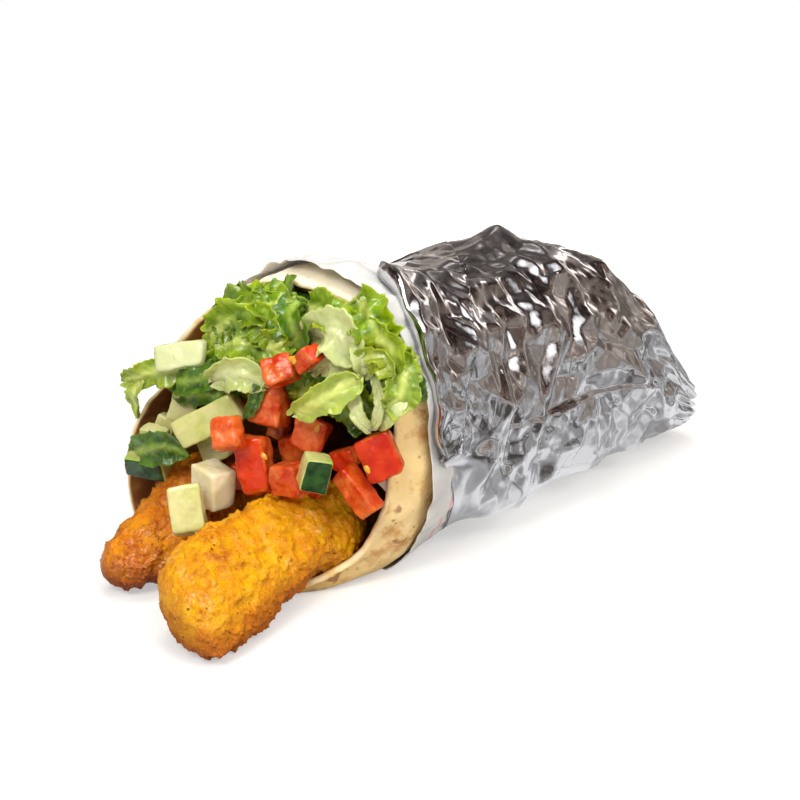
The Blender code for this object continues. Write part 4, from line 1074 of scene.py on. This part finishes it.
# %% Grow a leaf
def leaf(knots, width, roll=0.0, cup=0.0, ruffle=1.0, waves=5.0, pale=0.3, seed=1, thick=0.00032, blunt=3.0, rows=64, across=30, rib=1.0):
    """Knots are (across, up, out) in the mouth's plane, in mm, along the midrib; width is its half
    width at even steps, in mm. At u from -1 to 1 across and t from 0 to 1 along:
    place = midrib + side·w(t)·u + face·(cup·w·u² + ruffle·|u|²·sin(waves) + crinkles)."""
    draw = np.random.default_rng(seed)
    t = np.linspace(0, 1, rows)
    knots = np.asarray(knots, float)
    line = along_line(in_mouth(knots[:, 0], knots[:, 1], knots[:, 2]), t)
    ahead = np.gradient(line, axis=0)
    ahead /= np.linalg.norm(ahead, axis=1, keepdims=True)
    view = OUT * 0.8 + BACK * 0.2
    face = view - ahead * (ahead @ view)[:, None]
    face /= np.linalg.norm(face, axis=1, keepdims=True) + 1e-9
    side = np.cross(ahead, face)
    sway = 26 * noise(np.stack([t * 3.2 + seed, 0 * t, 0 * t], -1), 1.0, seed)
    turn = np.radians(roll + sway)[:, None]
    side, face = side * np.cos(turn) + face * np.sin(turn), face * np.cos(turn) - side * np.sin(turn)
    half = 0.001 * along_line(np.atleast_1d(width).astype(float)[:, None] if np.size(width) > 1 else np.array([[width], [width]], float), t)[:, 0]
    half = half * (1 - np.abs(2 * t - 1) ** (2 * blunt)) ** 0.6 + 0.0004
    u = np.linspace(-1, 1, across)[None, :]
    tt = t[:, None] + 0 * u
    edge = np.abs(u)
    phase = draw.uniform(0, 6.28, 6)
    jag = np.stack([tt * 7 + 3 * np.sign(u) + seed, 0 * tt, 0 * tt], -1)
    wide = half[:, None] * u * (1 + (0.30 * rough(jag, 0.8, seed, 4, 0.6)) * edge ** 3)
    length = np.linalg.norm(np.diff(line, axis=0), axis=1).sum()
    swing = 1.7 * rough(np.stack([tt * waves * 1.8, 0.7 * u + 0 * tt, 0 * tt + seed], -1), 1.0, seed + 7, 3, 0.55)
    swing2 = 1.4 * noise(np.stack([tt * waves * 1.1, 1.5 * u + 0 * tt, 0 * tt + seed], -1), 1.0, seed + 8)
    flat = line[:, None, :] + side[:, None, :] * wide[..., None]
    crinkle = 1 - 2.4 * np.abs(rough(flat, 0.0046, seed + 50, 3, 0.45))
    spread = 0.0055 * (1 + 0.3 * noise(flat, 0.008, seed + 51))
    veins = np.exp(-(((((tt * length - 1.2 * edge * half[:, None]) / spread) % 1) - 0.5) / 0.13) ** 2)
    veins = veins * smooth(0.95, 0.6, edge)
    midrib = np.exp(-(u * half[:, None] / (0.0009 * rib + 0.0006 * (1 - tt))) ** 2) * rib
    up = (
        0.001 * cup * edge ** 2 + 0.001 * ruffle * (edge ** 1.4 * swing + 0.8 * swing2)
        + 0.00042 * crinkle * (1 - 0.6 * pale) - 0.00018 * veins + 0.00030 * midrib
    )
    torn = rough(np.stack([3 * u + 0 * tt, 3 * np.sign(tt - 0.5), 0 * tt + seed], -1), 1.0, seed + 9, 4, 0.6)
    along = 0.0005 * ruffle * edge ** 2 * np.cos(2 * np.pi * waves * tt + phase[3]) + 0.0016 * torn * np.abs(2 * tt - 1) ** 5
    surface = flat + face[:, None, :] * up[..., None] + ahead[:, None, :] * along[..., None]
    thickness = thick * (1 + 1.6 * midrib + 1.2 * pale) * (1 - 0.55 * edge ** 6)
    normal = np.cross(np.gradient(surface, axis=0), np.gradient(surface, axis=1))
    normal /= np.linalg.norm(normal, axis=-1, keepdims=True) + 1e-12
    paleness = np.clip(pale + 0.7 * midrib * (1 - 0.5 * tt) + 0.22 * veins * (1 - 0.5 * edge) + 0.25 * (0.5 - edge) * pale, 0, 1)
    half_step = normal * (thickness / 2)[..., None]
    return leaf_skin(surface + half_step, surface - half_step, pale=paleness, edge=edge ** 3 + 0 * tt)


def leaf_finish(name, deep, bright, pale, yellow, gloss=0.34):
    """Green between the veins, pale at the ribs and yellower at the thin edges, wet and a little
    see-through."""
    made = finish_named(name, gloss, Subsurface_Weight=0.25, Subsurface_Radius=(0.0022, 0.0030, 0.0004), Subsurface_Scale=0.6, Coat_Weight=0.36, Coat_Roughness=0.13)
    tree = made.node_tree
    body = blend(tree, deep, bright, level(tree, grain(tree, 150, 4, roughness=0.65), 0.40, 0.60))
    body = blend(tree, body, yellow, times(tree, level(tree, grain(tree, 80, 3), 0.50, 0.68), 0.45))
    body = blend(tree, body, yellow, times(tree, fac(marked(tree, "edge")), 0.30))
    colour_from(tree, blend(tree, body, pale, level(tree, fac(marked(tree, "pale")), 0.15, 0.95)))
    relief(tree, (grain(tree, 360, 4, roughness=0.6), 0.0006, 0.50), (grain(tree, 1200, 3), 0.0002, 0.4))
    return made


bright_leaf = leaf_finish("bright_leaf", linear(70, 112, 6), linear(136, 168, 14), linear(208, 218, 116), linear(190, 198, 36))
dark_leaf = leaf_finish("dark_leaf", linear(22, 62, 6), linear(70, 114, 12), linear(150, 176, 66), linear(112, 146, 18))
pale_leaf = leaf_finish("pale_leaf", linear(150, 172, 60), linear(184, 196, 102), linear(204, 210, 150), linear(190, 198, 84), 0.24)

# %% Set the leaves that show
BRIGHT = (
    dict(knots=((-12, 32, 1), (-4, 34.5, 5), (5, 36.5, 7), (14, 38, 5)), width=(5.5, 6.2, 6.2, 5.0), roll=14, cup=1.6, ruffle=1.0, waves=3.0, seed=3, pale=0.12, blunt=6),
    dict(knots=((-14, 27, 3), (-6, 30, 7), (2, 31, 9), (9, 31, 9)), width=(4, 6.5, 6.5, 5), roll=-14, cup=2.2, ruffle=2.0, waves=5, seed=5, pale=0.2),
    dict(knots=((-11, 23, 5), (-3, 25, 9), (4, 25, 9), (12, 23, 6)), width=(3.5, 5, 5, 3.5), roll=20, cup=1.5, ruffle=2.0, waves=5, seed=8, pale=0.22),
    dict(knots=((0, 34, 5), (6, 33, 9), (11, 30, 10), (13, 26, 8)), width=(4, 5, 5, 3.5), roll=-10, cup=1.5, ruffle=1.8, waves=4, seed=9, pale=0.18),
    dict(knots=((17, 37, 3), (24, 37, 7), (30, 35.5, 8), (34, 31, 6)), width=(4, 5, 4.5, 3), roll=16, cup=1.6, ruffle=1.4, waves=4, seed=12, pale=0.15),
    dict(knots=((-25, 14.5, 4), (-32, 13.0, 8), (-40, 10.0, 7), (-45, 8.0, 5)), width=(3.5, 4.2, 3.5, 2.0), roll=24, cup=1.6, ruffle=0.9, waves=3, seed=15, pale=0.25),
    dict(knots=((-37, 9, 6), (-40.5, 5, 6), (-42, 1, 4), (-42, -3, 2)), width=(2.6, 2.8, 2.2, 1.4), roll=-20, cup=1.0, ruffle=0.6, waves=2, seed=16, pale=0.35),
    dict(knots=((35, 41, 4), (40, 38, 8), (44, 34, 10), (46, 29, 8)), width=(4.5, 6, 6, 4.5), roll=10, cup=2.2, ruffle=1.6, waves=4, seed=18, pale=0.12),
    dict(knots=((41, 33, 6), (45.5, 32, 10), (49.5, 29, 11), (52, 24, 10)), width=(3.5, 5.0, 5.0, 4.0), roll=-14, cup=1.8, ruffle=1.3, waves=4, seed=20, pale=0.18),
    dict(knots=((50.5, 27, 7), (53.5, 22, 10), (53, 16.5, 11.5), (49.5, 13.5, 12)), width=(3.0, 4.2, 4.4, 3.0), roll=18, cup=2.0, ruffle=1.1, waves=4, seed=22, pale=0.22),
    dict(knots=((38, 21, 9), (42.5, 26, 11), (47.5, 26.5, 12), (51.5, 22, 11)), width=(2.5, 3.2, 3.2, 2.6), roll=-22, cup=1.4, ruffle=0.8, waves=3, seed=24, pale=0.20),
    dict(knots=((21, 8, 12), (28, 11.5, 15.5), (35, 16, 16), (41, 21, 13)), width=(2.0, 3.6, 4.4, 3.4), roll=-16, cup=1.8, ruffle=0.6, waves=3, seed=26, pale=0.50),
    dict(knots=((2, 26, 7), (8, 25, 10), (13, 26, 10), (17, 28, 7)), width=(3, 4.2, 4.2, 3), roll=12, cup=1.2, ruffle=1.7, waves=4, seed=28, pale=0.2),
    dict(knots=((-2, 20, 6), (3, 21, 10), (9, 21, 9), (13, 20, 6)), width=(2.5, 3.6, 3.6, 2.5), roll=-14, cup=1.0, ruffle=1.2, waves=4, seed=29, pale=0.3),
)
DARK = (
    dict(knots=((15, 39, 4), (15.5, 35, 9), (18.5, 30, 10), (18, 25, 7)), width=(3.5, 5.6, 5.6, 3.6), roll=-8, cup=1.8, ruffle=0.9, waves=3, seed=31, pale=0.1, rib=1.3),
    dict(knots=((-29, 10, 3), (-21, 11, 7), (-13, 13, 7), (-7, 15, 5)), width=(3, 4.2, 4.2, 3), roll=10, cup=1.4, ruffle=1.5, waves=5, seed=33, pale=0.15),
    dict(knots=((-27, 6, 2), (-18, 7.5, 6), (-9, 9, 6), (-4, 12, 4)), width=(2.6, 3.6, 3.6, 2.6), roll=-12, cup=1.4, ruffle=1.4, waves=5, seed=34, pale=0.1),
    dict(knots=((8.2, 17.5, 8), (8.0, 13, 12), (7.0, 8.5, 13), (4.6, 4.5, 12)), width=(1.2, 1.7, 1.6, 1.0), roll=10, cup=0.5, ruffle=0.2, waves=2, seed=36, pale=0.05, rib=0.5),
    dict(knots=((-40, -14.5, 7), (-32, -11, 11), (-24, -8.5, 12), (-18, -10.5, 9)), width=(2.0, 4.4, 4.6, 2.4), roll=-8, cup=1.8, ruffle=0.7, waves=3, seed=38, pale=0.08, rib=1.2),
    dict(knots=((25, 9.5, 2), (31, 11.5, 6), (36, 8, 6), (38, 4, 3)), width=(2.6, 3.6, 3.4, 2.4), roll=14, cup=1.4, ruffle=1.2, waves=4, seed=40, pale=0.1),
    dict(knots=((24, 24, 4), (29, 22, 8), (31, 17, 8), (30, 12, 5)), width=(3, 3.8, 3.6, 2.6), roll=-14, cup=1.2, ruffle=1.0, waves=3, seed=41, pale=0.1),
    dict(knots=((46, 21, 4), (51, 22, 8), (55, 20, 8), (57, 16, 6)), width=(2.8, 3.6, 3.6, 2.6), roll=8, cup=1.0, ruffle=0.8, waves=3, seed=43, pale=0.1),
    dict(knots=((35, 37, 2), (40, 33, 6), (44, 28, 7), (46, 23, 5)), width=(3.5, 4.5, 4.5, 3.2), roll=-10, cup=1.6, ruffle=1.2, waves=4, seed=44, pale=0.12),
)
PALE = (
    dict(knots=((22, 28, 5), (28, 32, 11), (34, 31.5, 13), (38.5, 25, 10)), width=(2.6, 5.4, 6.2, 4.0), roll=8, cup=2.6, ruffle=0.6, waves=2, seed=51, pale=0.75, thick=0.0006, rib=0.6),
    dict(knots=((-9.5, 13, 8), (-3, 16, 12.5), (4, 17, 13), (9, 14.5, 10)), width=(2.4, 4.2, 4.6, 3.2), roll=-14, cup=2.4, ruffle=0.6, waves=3, seed=53, pale=0.55, thick=0.0005),
    dict(knots=((35, 19, 7), (39, 14, 11), (41, 9, 11), (43, 5.5, 8)), width=(1.2, 1.6, 1.6, 1.2), roll=20, cup=0.6, ruffle=0.3, waves=2, seed=55, pale=0.85, thick=0.0006, rib=0.3),
    dict(knots=((43, 20, 7), (47.5, 15, 11), (47, 10, 11), (44, 6.5, 8)), width=(1.2, 1.7, 1.6, 1.0), roll=-20, cup=0.6, ruffle=0.3, waves=2, seed=56, pale=0.8, thick=0.0006, rib=0.3),
    dict(knots=((53.5, 19, 8), (52.5, 13.5, 11), (49, 9.5, 10), (45.5, 7, 7)), width=(1.3, 1.8, 1.6, 1.0), roll=14, cup=0.6, ruffle=0.3, waves=2, seed=57, pale=0.7, thick=0.0006, rib=0.3),
    dict(knots=((23, 20, 6), (29, 23, 10), (34, 23.5, 11), (38, 22, 8)), width=(2.0, 3.4, 3.4, 2.2), roll=-10, cup=1.6, ruffle=0.5, waves=3, seed=58, pale=0.8, thick=0.0006, rib=0.4),
    dict(knots=((34, 33, 5), (39, 30, 10), (41, 25, 11), (40, 20, 8)), width=(1.8, 2.6, 2.6, 1.8), roll=24, cup=1.0, ruffle=0.4, waves=2, seed=59, pale=0.75, thick=0.0006, rib=0.5),
)
piece("bright_leaves", [leaf(**one) for one in BRIGHT], bright_leaf, "lettuce", "lettuce_heap")
piece("dark_leaves", [leaf(**one) for one in DARK], dark_leaf, "lettuce", "lettuce_heap")
piece("pale_leaves", [leaf(**one) for one in PALE], pale_leaf, "lettuce", "lettuce_heap")

# %% Fill the heap behind them
HEAP_MIDDLE = (6.0, 22.0)
HEAP_RADIUS = round_the_roll({
    0: 50.0, 13: 44.0, 25: 37.0, 38: 26.0, 52: 20.0, 67: 22.0, 90: 20.0, 122: 21.0, 140: 20.0, 168: 23.0, 184: 31.0,
    205: 30.0, 222: 20.0, 250: 13.0, 272: 9.0, 300: 12.0, 322: 22.0, 338: 36.0, 350: 46.0,
})


def heap_core():
    """Rings of the heap's outline: a low dome in front of the mouth and a core that runs back
    into the roll, all a few millimetres inside the leaves, with lumps all over."""
    angles = np.linspace(0, 360, 181)[:-1][None, :]
    outs = np.array((1.5, 1.2, 0.0, -2.0, -5.0, -9.0, -16.0))[:, None]
    shares = np.array((0.15, 0.50, 0.80, 0.88, 0.88, 0.84, 0.74))[:, None]
    radius = HEAP_RADIUS(angles) * shares
    across = HEAP_MIDDLE[0] + radius * np.cos(np.radians(angles))
    up = HEAP_MIDDLE[1] + radius * np.sin(np.radians(angles))
    rings = in_mouth(across, up, outs + 0 * angles)
    rings = along_line(np.moveaxis(rings, 0, 0), np.linspace(0, 1, 40)) if False else rings
    fine = np.linspace(0, len(outs) - 1, 44)
    low = np.minimum(fine.astype(int), len(outs) - 2)
    part = (fine - low)[:, None, None]
    rings = rings[low] * (1 - part) + rings[low + 1] * part
    return rings + OUT * (0.0012 * rough(rings, 0.006, 71, 3))[..., None]


# The core's dark green is painted shade in the gaps between the leaves.
piece("lettuce_core", [skin(heap_core())], shade_core_finish := leaf_finish("leaf_shade", linear(24, 52, 6), linear(52, 88, 10), linear(120, 150, 40), linear(80, 104, 14)), "lettuce", "lettuce_heap")


def fill_leaves(count, seed):
    """Small ruffled leaves all over the heap, a little under the listed ones."""
    draw = np.random.default_rng(seed)
    made = []
    for k in range(count):
        turn = draw.uniform(0, 360)
        far = math.sqrt(draw.uniform(0.02, 1)) * 0.86 * float(HEAP_RADIUS(turn))
        middle = np.array((HEAP_MIDDLE[0] + far * math.cos(math.radians(turn)), HEAP_MIDDLE[1] + far * math.sin(math.radians(turn))))
        aim, long = draw.uniform(0, 2 * math.pi), draw.uniform(4.0, 7.0)
        step = np.array((math.cos(aim), math.sin(aim))) * long
        lift = 3.2 - 3.0 * (far / float(HEAP_RADIUS(turn))) ** 2 + draw.uniform(-1, 1.4)
        knots = [(*(middle - step), lift - 2.0), (*(middle - 0.3 * step), lift + 0.8), (*(middle + 0.4 * step), lift + 0.8), (*(middle + step), lift - 2.0)]
        made.append(leaf(
            knots, width=draw.uniform(2.4, 4.2), roll=draw.uniform(-38, 38), cup=draw.uniform(0.5, 1.8), ruffle=draw.uniform(0.6, 1.5),
            waves=draw.uniform(2, 4.5), pale=draw.uniform(0.0, 0.35), seed=1000 + seed + k, rows=34, across=17,
        ))
    return made


piece("small_bright_leaves", fill_leaves(44, 5), bright_leaf, "lettuce", "lettuce_heap")
piece("small_dark_leaves", fill_leaves(30, 77), dark_leaf, "lettuce", "lettuce_heap")

# %% Cut the rib and the onion
rib_block = cut_block("lettuce_rib", 611, sharp=9.0, wobble=0.0004)
rib_finish = leaf_finish("rib_flesh", linear(196, 206, 128), linear(214, 220, 156), linear(232, 234, 196), linear(206, 212, 120), 0.18)
rib_block["values"] = {"pale": rib_block["values"]["depth"] * 0 + 0.5, "edge": rib_block["values"]["peel"]}
piece("lettuce_rib_piece", [rib_block], rib_finish, "lettuce", "lettuce_rib")
onion_finish = finish_named("onion_flesh", 0.18, linear(236, 214, 206), Subsurface_Weight=0.5, Subsurface_Radius=(0.003, 0.002, 0.002), Subsurface_Scale=0.6)
relief(onion_finish.node_tree, (grain(onion_finish.node_tree, 500, 3), 0.0003, 0.3))
piece("onion_piece", [cut_block("onion_slice", 711, sharp=9.0)], onion_finish, "onion", "onion_slice")
